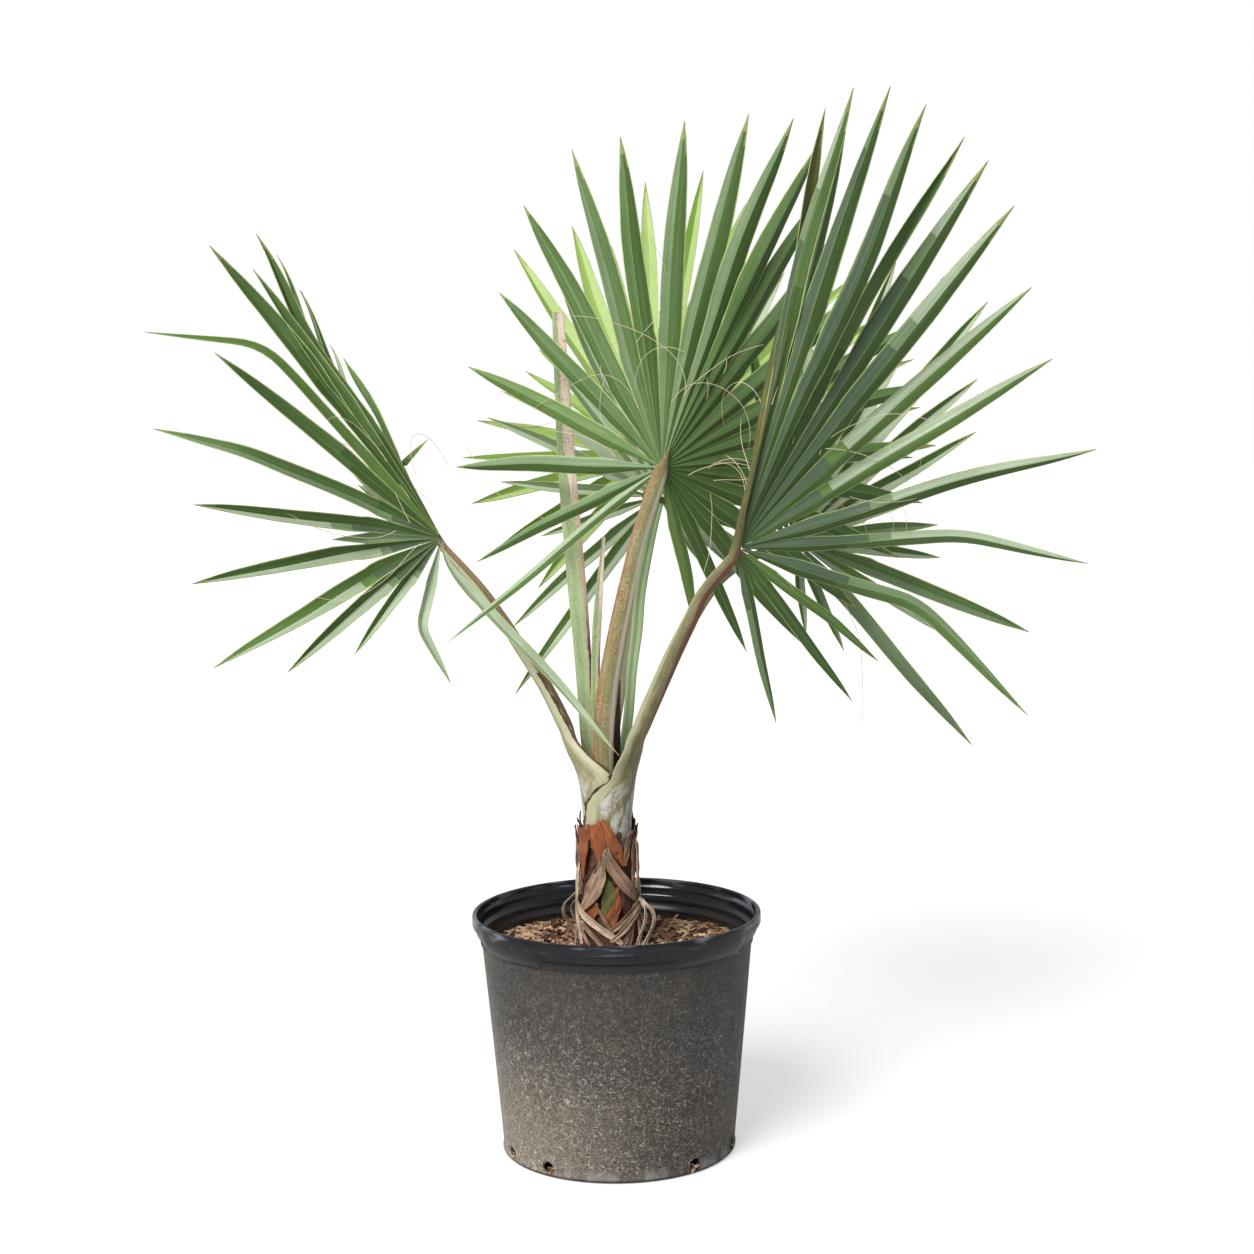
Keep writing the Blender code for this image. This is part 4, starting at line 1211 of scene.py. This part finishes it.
STRIPS = """
PALE; -49 336 15, -58 360 13.5, -66 382 12, -70 405 11, -70 428 10, -66 449 9, -62 464 8;\
    3.4 4.6 5.2 5.4 5.6 4 1.2
PALE; -64 399 12, -47 383 13.5, -24 370 14.5, -2 356 15.5, 15 344 16.5, 24 335 17;\
    3.1 5.3 6.1 5.3 3.8 3.1
TAN; 67 402 14, 45 389 15, 22 372 15.5, 4 359 15.5; 3.1 4.6 4.6 3.8
TAN; 68 395 15.5, 50 382 16.5, 31 365 16.5, 11 349 17.5, 2 342 18; 2.3 3.8 4.6 3.8 3.1
PINK; -26 403 6, -15 387 8.5, -2 369 12, 7 353 14; 1.5 2.3 2.7 2.3
PALE; 62 404 14, 66 397 21, 68 385 33, 66 370 37, 58 354 36, 50 338 33, 46 326 30;\
    3 4.6 4.6 4.4 4 3.4 3
PALE; 66 396 15.5, 64 390 23, 60 380 27, 54 364 27, 46 345 25, 42 328 24; 2 3.4 3.4 3.4 3 2.4
TAN; 56 384 12, 58 366 16, 54 348 20, 48 330 22; 2 3.4 3.4 3
TAN; -10 337 19, -25 352 16.5, -40 362 14.5, -51 371 13; 3.1 3.8 3.1 2.3
TAN; -72 328 15, -74 353 12, -72 378 10; 3.8 5.3 3.8
TAN; -30 337 18.5, -44 351 15.5, -53 363 13.5; 3.1 3.1 2.3
PINK; 33 333 16, 41 354 13.5, 49 372 11; 3.8 4.6 3.1
TAN; 20 331 17.5, 30 345 15, 40 356 13; 2.8 3.4 2.4"""
DRY_NAMES = list(DRY_SKINS)
LOWEST_END = .326


def build_bases(name, node, text, seed, thick, **style):
    rng, heap = random.Random(seed), Heap()
    for turn in (0, 180):
        for line in text.split("\n")[1:]:
            finish, stations, widths = line.split(";")
            rise = rng.uniform(-.006, .006) if turn else 0
            moved = [(a + turn, max(LOWEST_END, z + rise), out)
                     for a, z, out in table(stations, ".mm")]
            add_strip(heap, rng, moved, table(widths, "m" * 9)[0], DRY_NAMES.index(finish),
                      **style)
    piece = heap.piece(name, list(DRY_SKINS.values()), thick=thick, sharp=50)
    stands_for(piece, f"{node}_1", *(f"{node}_{k}" for k in range(1, 5)))


build_bases("clasping_leaf_bases", "leaf_base_inner", PLATES, 21, .0013,
            crease=.06, tear=.38, rows=24, columns=11, hug=1.2)
build_bases("split_leaf_bases", "leaf_base_outer", SPLITS, 22, .0011,
            crease=.30, tear=.25, rows=30, columns=11)
build_bases("crossed_dry_strips", "dry_strip", STRIPS, 23, .0010,
            crease=.45, tear=.2, rows=36, columns=7, hug=.3)

# %% [markdown]
# Under the stalks the crown itself is a tight roll of living sheaths.  The
# stalk pieces already wrap it, so all that is left is the rolled core that
# closes the gap between them.

# %% Crown core
CORE = ((.486, .52, .56, .575, .586), (.0310, .0310, .030, .026, .014))   # heights, radii


def build_crown(columns=48):
    heights, a = np.linspace(.486, .586, 14), turns(columns)
    grid = np.array([level_ring(a, np.interp(z, *CORE), z, (TRUNK_TOP[0], 0), .95)
                     for z in heights])
    heap = Heap()
    heap.add_grid(grid, 0, marks_for(grid, heights[:, None], a / np.pi - 1, .4), ring=True)
    stands_for(heap.piece("crown_core", [CROWN_SKIN]), "crown_sheath", "crown_sheath")


build_crown()

# %% [markdown]
# ## Spear and shoot
# The newest leaf stands in the middle, still folded shut.  One side is green;
# the other has dried to a pinkish, papery margin.  Beside it a younger shoot
# is only a thin blade, and a dark sliver at their foot is painted shade in the
# gap between the stalks.  All three are narrow folded tapers, so they share one rule.

# %% Folded leaves
def spear_skin():
    skin = Skin("spear_skin", .55, .4)
    marks = skin.marks()
    along, across, _ = skin.parts(marks)
    hair, crust = skin.streaks(12, 20, marks), skin.scurf(300, .45)
    side = skin.plus(across, skin.times(skin.noise(skin.solid(), 60, 3, .6), .5))
    dry = skin.mix(hair["Lines"], (840, 730, 620), (600, 450, 340))
    dry = skin.mix(skin.ramp(along, .80, .68, (0, .75)), dry, (420, 260, 185))
    from_here = skin.ramp(along, .84, .70, (.02, .80))
    skin.base(hair["Lines"], (250, 350, 150), (440, 530, 310))
    skin.coat(dry, skin.ramp(skin.less(side, from_here), -.05, .06))
    skin.coat((50, 26, 18), skin.times(skin.ramp(along, .68, .56), skin.ramp(side, .88, 1)))
    skin.coat((220, 110, 60), crust, .6)
    return skin.finish(hair["Height"], .5, .001)


def build_taper(name, slot, points, sizes, count, material, *nodes):
    path, widths = bent(table(points, "mmm"), count), spread(table(sizes, "mm"), count)
    run = unit(np.gradient(path, axis=0))
    rings, marks = [], []
    for k in range(count):
        ring, mark = half_moon(path[k], run[k], np.array((0, -1, 0)), *widths[k])
        rings.append(ring)
        marks.append(np.c_[np.full(RING, k / count), mark[:, 0], np.full(RING, .3)])
    heap = Heap()
    heap.add_grid(np.array(rings), 0, np.array(marks), ring=True)
    stands_for(heap.piece(name, [material], sharp=60), slot, *nodes)


SPEAR_SKIN = spear_skin()
build_taper("folded_spear", "spear_leaf",
            """-15.5 3 572.3, -28.5 8 606, -40 13 647, -48.5 20 804, -66 27 1052,
            -77.5 30 1310""", "12 8, 22 8, 24 8, 24 7, 29.5 6, 28 5, 18 3.5",
            60, SPEAR_SKIN, "spear_leaf")
build_taper("young_shoot", "young_spike",
            "-26 -7.5 572.3, -28.5 -8 651, -25.5 -4 806, -11.5 0 966",
            "5 6, 11 6, 13.5 6, 14 5, 5 2", 34, SPEAR_SKIN, "young_spike")
# A dark sliver stands in as painted shade in the gap between the stalks.
build_taper("shade_sliver", "crown_sheath",
            "2 -2 560, 3.5 0 620, 6 2 680, 10.5 3 742",
            "10 4, 13 4, 9 3, 1.5 1.5", 24, DRY_SKINS["DARK"])

# %% [markdown]
# ## Threads
# As a fan opens, the web tears and leaves pale threads that curl in front of
# the leaflets.  Each is a thin tube along a walk that keeps turning, started
# at a notch.  A seeded rule places them; some are short hooks and some long loops.

# %% Curling threads
THREAD_RADIUS, THREAD_STEPS = 0.00050, 46
THREAD_LENGTHS = (.08, .14, .20, .27)
MOST_TURN, TURN_STEP, THREAD_FALL = 38, 4.4, .003
THREADS = {"front": 15, "left": 7, "right": 13, "back_right": 8, "middle": 6, "back": 9}


def thread_skin():
    skin = Skin("thread_straw", .6, .4)
    skin.base(skin.noise(skin.solid(), 240, 2), (760, 690, 500), (560, 460, 290))
    skin.feed(skin.shader, {"Base Color": skin.colour})
    return skin.material


def add_tube(heap, line, radius, sides=5):
    run = unit(np.gradient(line, axis=0))
    side = unit(np.cross(run, (.31, .17, .93)))
    up = np.cross(side, run)
    a = turns(sides)[None, :, None]
    taper = np.interp(np.linspace(0, 1, len(line)), (0, .9, 1), (1, .8, .25))[:, None, None]
    grid = line[:, None] + radius * taper * (side[:, None] * np.cos(a) + up[:, None] * np.sin(a))
    heap.add_grid(grid, ring=True)


def curl(rng, start, forward, normal, length, turn):
    """A walk of even steps whose heading keeps turning in the plane of the blade."""
    heading, point, line = unit(forward), np.array(start, float), []
    bend, drift = turn, rng.uniform(-.4, .4)
    for _ in range(THREAD_STEPS):
        line.append(point.copy())
        bend += rng.uniform(-TURN_STEP, TURN_STEP) - bend * .03
        bend = max(-MOST_TURN, min(MOST_TURN, bend))
        angle = bend * length / THREAD_STEPS
        side = np.cross(normal, heading)
        heading = unit(heading * math.cos(angle) + side * math.sin(angle)
                       + normal * drift * .02 - np.array((0, 0, THREAD_FALL)))
        point = point + heading * length / THREAD_STEPS
    return np.array(line)


def build_threads():
    rng, heap = random.Random(8), Heap()
    for name, count in THREADS.items():
        frond = FRONDS[name]
        angles, reaches = leaflets(frond)
        facing = frame_of(frond)[2]
        toward = facing * math.copysign(1, facing @ np.array((0, -1, .2)))
        for _ in range(count):
            k = rng.randrange(2, len(angles) - 3)
            angle = (angles[k] + angles[k + 1]) / 2
            start = on_fan(frond, angle, rng.uniform(.10, .40) * reaches[k]) + toward * .012
            line = curl(rng, start, ray(frond, angle + rng.uniform(-60, 60)), toward,
                        rng.choice(THREAD_LENGTHS) * rng.uniform(.8, 1.15),
                        rng.choice((-1, 1)) * rng.uniform(6, 26))
            add_tube(heap, line, THREAD_RADIUS * rng.uniform(.7, 1.2))
    stands_for(heap.piece("leaf_threads", [thread_skin()], sharp=80), "frond_front")


build_threads()

# %% [markdown]
# ## Bark chips
# The pot is filled with chipped bark.  A bumpy dark bed carries the chips, and
# each chip is a splinter: a box with eight loose corners, longer than wide,
# lying nearly flat.  They come in four browns dealt out chip by chip, and all
# chips are one piece.

# %% Bed of fine bark
POT_INSIDE = 0.2065
SOIL = ((0, .074, .105, .14, .172, .21), (.3215, .3215, .321, .319, .3175, .316))


def bark(name, light, dark):
    return streaked(name, light, dark, None, .85, .3, (7, 60), (160, .4, .6), .4, (.8, .0012))


def soil_height(x, y):
    return (np.interp(math.hypot(x, y), *SOIL)
            + .0016 * math.sin(61 * x + 3) * math.sin(53 * y + 1))


def build_bed(rows=26, columns=96):
    a, rng = turns(columns), np.random.default_rng(3)
    grid = []
    for r in np.linspace(.004, POT_INSIDE, rows):
        ring = level_ring(a, r, 0)
        z = np.array([soil_height(x, y) for x, y, _ in ring]) - .0035
        ring[:, 2] = z + rng.uniform(-.0011, .0011, columns) * (r > .05)
        grid.append(ring)
    grid.append(level_ring(a, .195, .200))
    grid, heap = np.array(grid)[::-1], Heap()
    heap.add_grid(grid, 0, grid * (40, 40, 0), ring=True)
    mat = bark("fine_bark", (50, 27, 16), (16, 9, 6))
    stands_for(heap.piece("fine_bark_bed", [mat]), "bark_mulch", "bark_mulch")


build_bed()

# %% [markdown]
# Chips could be copies of one mesh, but the eye soon finds the twins.  Each
# splinter is drawn from numbers of its own instead, with so few faces that
# nearly three thousand of them stay light.

# %% Chips
CHIP_FACES = ((0, 1, 2, 3), (7, 6, 5, 4), (0, 4, 5, 1), (1, 5, 6, 2), (2, 6, 7, 3), (3, 7, 4, 0))
CORNERS = np.array([(x, y, z) for z in (-1, 1)
                    for x, y in ((-1, -1), (1, -1), (1, 1), (-1, 1))])
CHIP_KINDS = [bark("chip_dark", (85, 38, 20), (30, 15, 10)),
              bark("chip_brown", (290, 145, 72), (120, 55, 28)),
              bark("chip_tan", (660, 470, 300), (340, 200, 110)),
              bark("chip_grey", (520, 400, 300), (230, 155, 105))]
CHIP_COUNT, LYING_SHARE = 2700, .4
CHIP_LENGTHS, WIDEST_CHIP = (.011, .017, .024, .032), .0088


def splinter(rng, size, least, most):
    """A box of one size whose eight corners are each a little off."""
    loose = [[rng.uniform(*ends) for ends in zip(least, most)] for _ in range(8)]
    return CORNERS * size / 2 * loose


def turned(*steps):
    """One turn made of steps of axis and angle."""
    whole = Matrix.Identity(3)
    for axis, angle in steps:
        whole = whole @ Matrix.Rotation(angle, 3, axis)
    return np.array(whole).T


def build_chips():
    rng, heap = random.Random(17), Heap()
    for n in range(CHIP_COUNT):
        r = math.sqrt(rng.uniform(.040 ** 2, (POT_INSIDE - .004) ** 2))
        a = rng.uniform(0, 2 * math.pi)
        x, y = r * math.cos(a), r * math.sin(a)
        long = rng.choice(CHIP_LENGTHS) * rng.uniform(.7, 1.25)
        wide = min(WIDEST_CHIP, long * rng.uniform(.20, .48))
        thick = rng.uniform(.0012, .0036)
        long = min(long, 2 * (POT_INSIDE - .001 - r) + .006)
        box = splinter(rng, (long, wide, thick), (.62, .4, .5), (1.1, 1.1, 1.2))
        tilt = rng.gauss(0, .34 if n > CHIP_COUNT * LYING_SHARE else .18)
        turn = turned(("Z", rng.uniform(0, 2 * math.pi)), ("Y", tilt), ("X", rng.gauss(0, .35)))
        layer = rng.uniform(-.0015, .0055)
        centre = np.array((x, y, soil_height(x, y) + layer))
        marks = np.c_[box[:, 0], box[:, 1] / wide * 2, np.full(8, rng.random())]
        kind = rng.choices((0, 1, 2, 3), (3, 5, 4, 2))[0]
        heap.add(box @ turn + centre, CHIP_FACES, kind, marks)
    stands_for(heap.piece("bark_chips", CHIP_KINDS, sharp=25), "bark_mulch")


build_chips()

# %% [markdown]
# ## Nursery pot
# A grower's pot is thin blown plastic.  Its wall is scratched and dusty, with
# worm-like marks of dried dirt, and it turns pale tan towards its lower left.  The lip
# was wiped by many hands, so it keeps its shine, and a pale bluish band on its outer
# face is a painted highlight: two finishes of one plastic.

# %% Pot materials
def wall_skin():
    skin = Skin("weathered_plastic", .6, .45)
    skin.feed(skin.shader, {"Sheen Weight": .15, "Sheen Roughness": .45,
                            "Sheen Tint": (850, 780, 700)})
    place = skin.solid()
    x, _, z = skin.parts(place)
    tall = skin.add("Mapping", {"Vector": place, "Scale": (1, 1, .10)})
    fine, small, dark = (skin.placed(WORMS, *values)["Mask"] for values in
                         ((92, .026, .95), (140, .032, .80), (104, .040, .95)))
    patch = skin.blotches(20, .46, .66)
    skin.base(skin.blotches(7, .42, .58), (26, 27, 31), (40, 32, 28))
    skin.coat((21, 22, 26), patch, .35)
    skin.coat((72, 56, 45), skin.ramp(skin.noise(tall, 46, 4, .6), .50, .66), .30)
    # The wall turns pale tan towards its lower left.
    lower_left_pale = skin.times(skin.ramp(z, .26, .02), skin.ramp(x, .10, -.17))
    skin.coat((200, 165, 132), lower_left_pale, .80)
    # Painted shade under the rim: the top of the wall darkens towards the band.
    skin.coat((20, 19, 20), skin.ramp(z, .27, .335), .55)
    skin.coat((13, 12, 11), dark, .72)
    skin.coat((170, 145, 118), skin.blotches(360, .57, .70), .20)
    marks = skin.maths("MAXIMUM", skin.times(fine, .90), skin.times(small, .70))
    lower = skin.plus(skin.ramp(z, .330, .120, (.20, .62)), skin.times(lower_left_pale, .45))
    marks = skin.times(marks, lower)
    skin.coat((480, 415, 335), marks)
    # Pale streaks round the foot: dust, and a painted highlight along its moulded edge.
    foot = skin.times(skin.ramp(z, .026, .010),
                      skin.ramp(skin.noise(tall, 30, 4, .6), .45, .62))
    skin.coat((230, 215, 200), foot, .62)
    # Painted shadow where the foot meets the floor: the underside of the foot turns near black.
    skin.coat((10, 9, 8), skin.ramp(z, .0075, .0030, (0, .9)))
    skin.shine(patch, .60, .72)
    height = skin.plus(skin.times(skin.noise(place, 520), .25), skin.times(marks, .5))
    return skin.finish(height, .5, .0008)


def rim_skin():
    skin = Skin("shiny_plastic", .2, .50)
    place = skin.solid()
    z = skin.parts(place)[2]
    cloud, scuffs = skin.blotches(9, .42, .58), skin.blotches(60, .60, .72)
    skin.base(cloud, (4.5, 5, 6.5), (8, 9, 12))
    skin.coat((50, 50, 54), scuffs, .22)
    skin.coat((26, 22, 20), skin.ramp(z, .349, .336), .60)
    skin.coat((170, 150, 125), skin.blotches(340, .60, .72), .14)
    # Painted highlight: a pale bluish band streaked along the outer face of the lip.
    flat = skin.add("Mapping", {"Vector": place, "Scale": (1, 1, 7)})
    painted_highlight = skin.ramp(skin.noise(flat, 13), .50, .66)
    skin.coat((170, 185, 220), skin.times(painted_highlight, skin.ramp(z, .361, .372)), .70)
    dull = skin.plus(skin.times(scuffs, .22), skin.times(cloud, .08))
    dull = skin.plus(dull, skin.ramp(z, .352, .342, (.13, .30)))
    skin.feed(skin.shader, {"Roughness": dull})
    wobble, grain = skin.noise(place, 30, 2), skin.noise(place, 480)
    return skin.finish(skin.plus(skin.times(wobble, 1.2), skin.times(grain, .05)), .35, .0012)


POT_SKINS = [wall_skin(), rim_skin()]
print("pot material nodes:", [len(skin.node_tree.nodes) for skin in POT_SKINS])

# %% [markdown]
# The pot is a plain tapered wall, a stepped band, a rolled lip and a few blunt
# hand holds.  It is turned from a profile, then the wall is pushed about by a
# millimetre, because no used pot is round.  Its drain holes are cut through by
# rough plugs, which leaves their edges ragged.

# %% Pot shape
WALL_TOP, WALL_BASE, WALL, BAND = 0.2116, 0.181, 0.0036, 0.346
DRAIN_ANGLES = (-64, -36, 39, 74, 116, 144, 219, 254)
DRAIN_HEIGHT, PLUG_SIDES = .0150, 18
GRIP_ANGLES = (-48, 42, 132, 222)
GRIP = ((.334, .339, .347, .354, .362, .368, .374),                      # heights
        (.2110, .2180, .2225, .2252, .2264, .2262, .2250))              # radii
POT_COLUMNS, INSIDE_ROWS = 224, 27


def wall_radius(z):
    return WALL_BASE + (WALL_TOP - WALL_BASE) * z / BAND


def pot_profile():
    """(radius, height) from the middle of the floor inside, over the lip, to the underside."""
    def inner(z, more=0, at=None):
        return wall_radius(z) - WALL - more, z if at is None else at

    inside = [(.0005, .0042), (.09, .0042), inner(.0042, .003), inner(.008, at=.0085)]
    inside += [inner(z) for z in np.linspace(.03, .315, 9)]
    inside += [inner(.326, at=.3262), inner(.328, .0016, .3285), inner(.333, .0018, .3325),
               inner(.335, .0004, .3346), inner(.342)]
    lip = table("""206.4 344, 207 347.6, 212.8 351.2, 214.4 353.5, 214.6 363, 215.4 366,
        217 368.2, 217.3 374, 218 377.7, 219.6 379, 222.8 379, 224.4 378, 225 376, 225 364,
        224.3 361.8, 220.5 359.2, 219.4 357.5, 219 351.5, 218.2 349.5, 213.5 347.2,
        211.8 346.2, 211.8 338, 212.8 337.2, 212.8 334.5, 211.2 333.5""", "mm")
    outside = [(wall_radius(z), z) for z in np.linspace(.325, .030, 14)]
    outside += [(wall_radius(z) + more, z) for z, more in
                ((.016, 0), (.010, .0010), (.006, .0020), (.003, .0018))]
    foot = table("180.6 .8, 177 0, 165 0, 155 1.2, 80 1.2, .5 1.2", "mm")
    return np.vstack([inside, lip, outside, foot])


def outward(turn):
    """The way out of the pot at this turn, and the way along its wall."""
    s, c = math.sin(math.radians(turn)), math.cos(math.radians(turn))
    return np.array((s, -c, 0)), np.array((c, s, 0))


def drain_cutter(turn, rng):
    """A rough-edged plug through the foot of the wall."""
    out, across = outward(turn)
    shape = [rng.uniform(.0094, .0122) for _ in range(PLUG_SIDES)]
    rings = [[out * d + across * math.cos(t) * s
              + np.array((0, 0, DRAIN_HEIGHT + math.sin(t) * s * .9))
              for t, s in zip(turns(PLUG_SIDES), shape)] for d in (.160, .200)]
    heap = Heap()
    heap.add_grid(np.array(rings), ring=True)
    plug = heap.piece("drain_plug", POT_SKINS[:1])
    bm = bmesh.new()
    bm.from_mesh(plug.data)
    bmesh.ops.recalc_face_normals(bm, faces=bm.faces)
    bm.to_mesh(plug.data)
    bm.free()
    return plug


def build_pot():
    profile, a, rows = pot_profile(), turns(POT_COLUMNS), []
    for i, (r, z) in enumerate(profile):
        push = .0009 * np.sin(2 * a + 1.1) + .0006 * np.sin(3 * a + 8 * z) * (z > .02)
        dent = np.zeros(POT_COLUMNS)
        for turn in GRIP_ANGLES:
            off = (np.degrees(a) + 90 - turn + 180) % 360 - 180
            if i > INSIDE_ROWS and .3340 < z < .3740:
                dent = dent + smooth((18.5 - np.abs(off)) / 3) * max(0, np.interp(z, *GRIP) - r)
        rows.append(level_ring(a, (r + dent) * (1 + (push / .2) * (r > .1)), z))
    low = np.mean([profile[:-1], profile[1:]], 0)[:, 1] < .3336
    is_wall = (np.arange(len(profile) - 1) > INSIDE_ROWS) & low
    heap = Heap()
    heap.add_grid(np.array(rows), np.where(is_wall, 0, 1)[:, None], ring=True)
    pot = heap.piece("nursery_pot", POT_SKINS)
    rng = random.Random(31)
    for turn in DRAIN_ANGLES:
        plug = drain_cutter(turn, rng)
        cut = pot.modifiers.new("drain", "BOOLEAN")
        cut.object, cut.operation, cut.solver = plug, "DIFFERENCE", "EXACT"
        bpy.context.view_layer.update()
        settle(pot)
        bpy.data.objects.remove(plug)
    shade(pot, 34)
    stands_for(pot, "pot", "pot")


build_pot()

# %% [markdown]
# Bark has worked its way down and out at the drain holes.  A few crumbs sit in
# each hole, and the plastic round it stands up in a torn, paler burr.

# %% Drain crumbs and burrs
CRUMBS, BURR_STEPS = 14, 26


def burr_ring(rng, out, across):
    ring = np.zeros((BURR_STEPS, 4, 3))
    middle = np.array((0, 0, DRAIN_HEIGHT))
    for k in range(BURR_STEPS):
        t = 2 * math.pi * k / BURR_STEPS
        around = across * math.cos(t) + np.array((0, 0, math.sin(t)))
        inner, outer = rng.uniform(.0100, .0112), rng.uniform(.0120, .0142)
        wall = wall_radius(DRAIN_HEIGHT + outer * math.sin(t))
        for j, (wide, deep) in enumerate(((outer, -.0010), (inner + .0012, (.0008, .0022)),
                                          (inner, (.0002, .0012)), (inner + .0014, -.0024))):
            deep = rng.uniform(*deep) if isinstance(deep, tuple) else deep
            ring[k, j] = middle + around * wide + out * (wall + deep)
    return np.concatenate([ring, ring[:1]])


def build_drain_crumbs():
    rng, heap = random.Random(47), Heap()
    for turn in DRAIN_ANGLES:
        out, across = outward(turn)
        for _ in range(CRUMBS):
            size = [rng.uniform(*ends) for ends in ((.004, .011), (.002, .005), (.001, .003))]
            box = splinter(rng, size, (.5,) * 3, (1.2,) * 3)
            turn_by = turned(("X", rng.uniform(0, 6.3)), ("Y", rng.uniform(-1.4, 1.4)),
                             ("Z", rng.uniform(0, 6.3)))
            place = (out * rng.uniform(.1755, .1840) + across * rng.uniform(-.0065, .0065)
                     + np.array((0, 0, rng.uniform(.0065, .0145))))
            heap.add(box @ turn_by + place, CHIP_FACES, rng.choice((0, 1, 2, 2, 3)),
                     np.c_[box[:, :2] * 40, np.full(8, rng.random())])
        heap.add_grid(burr_ring(rng, out, across), len(CHIP_KINDS))
    piece = heap.piece("drain_crumbs", CHIP_KINDS + POT_SKINS[:1], sharp=30)
    stands_for(piece, "bark_mulch")


build_drain_crumbs()
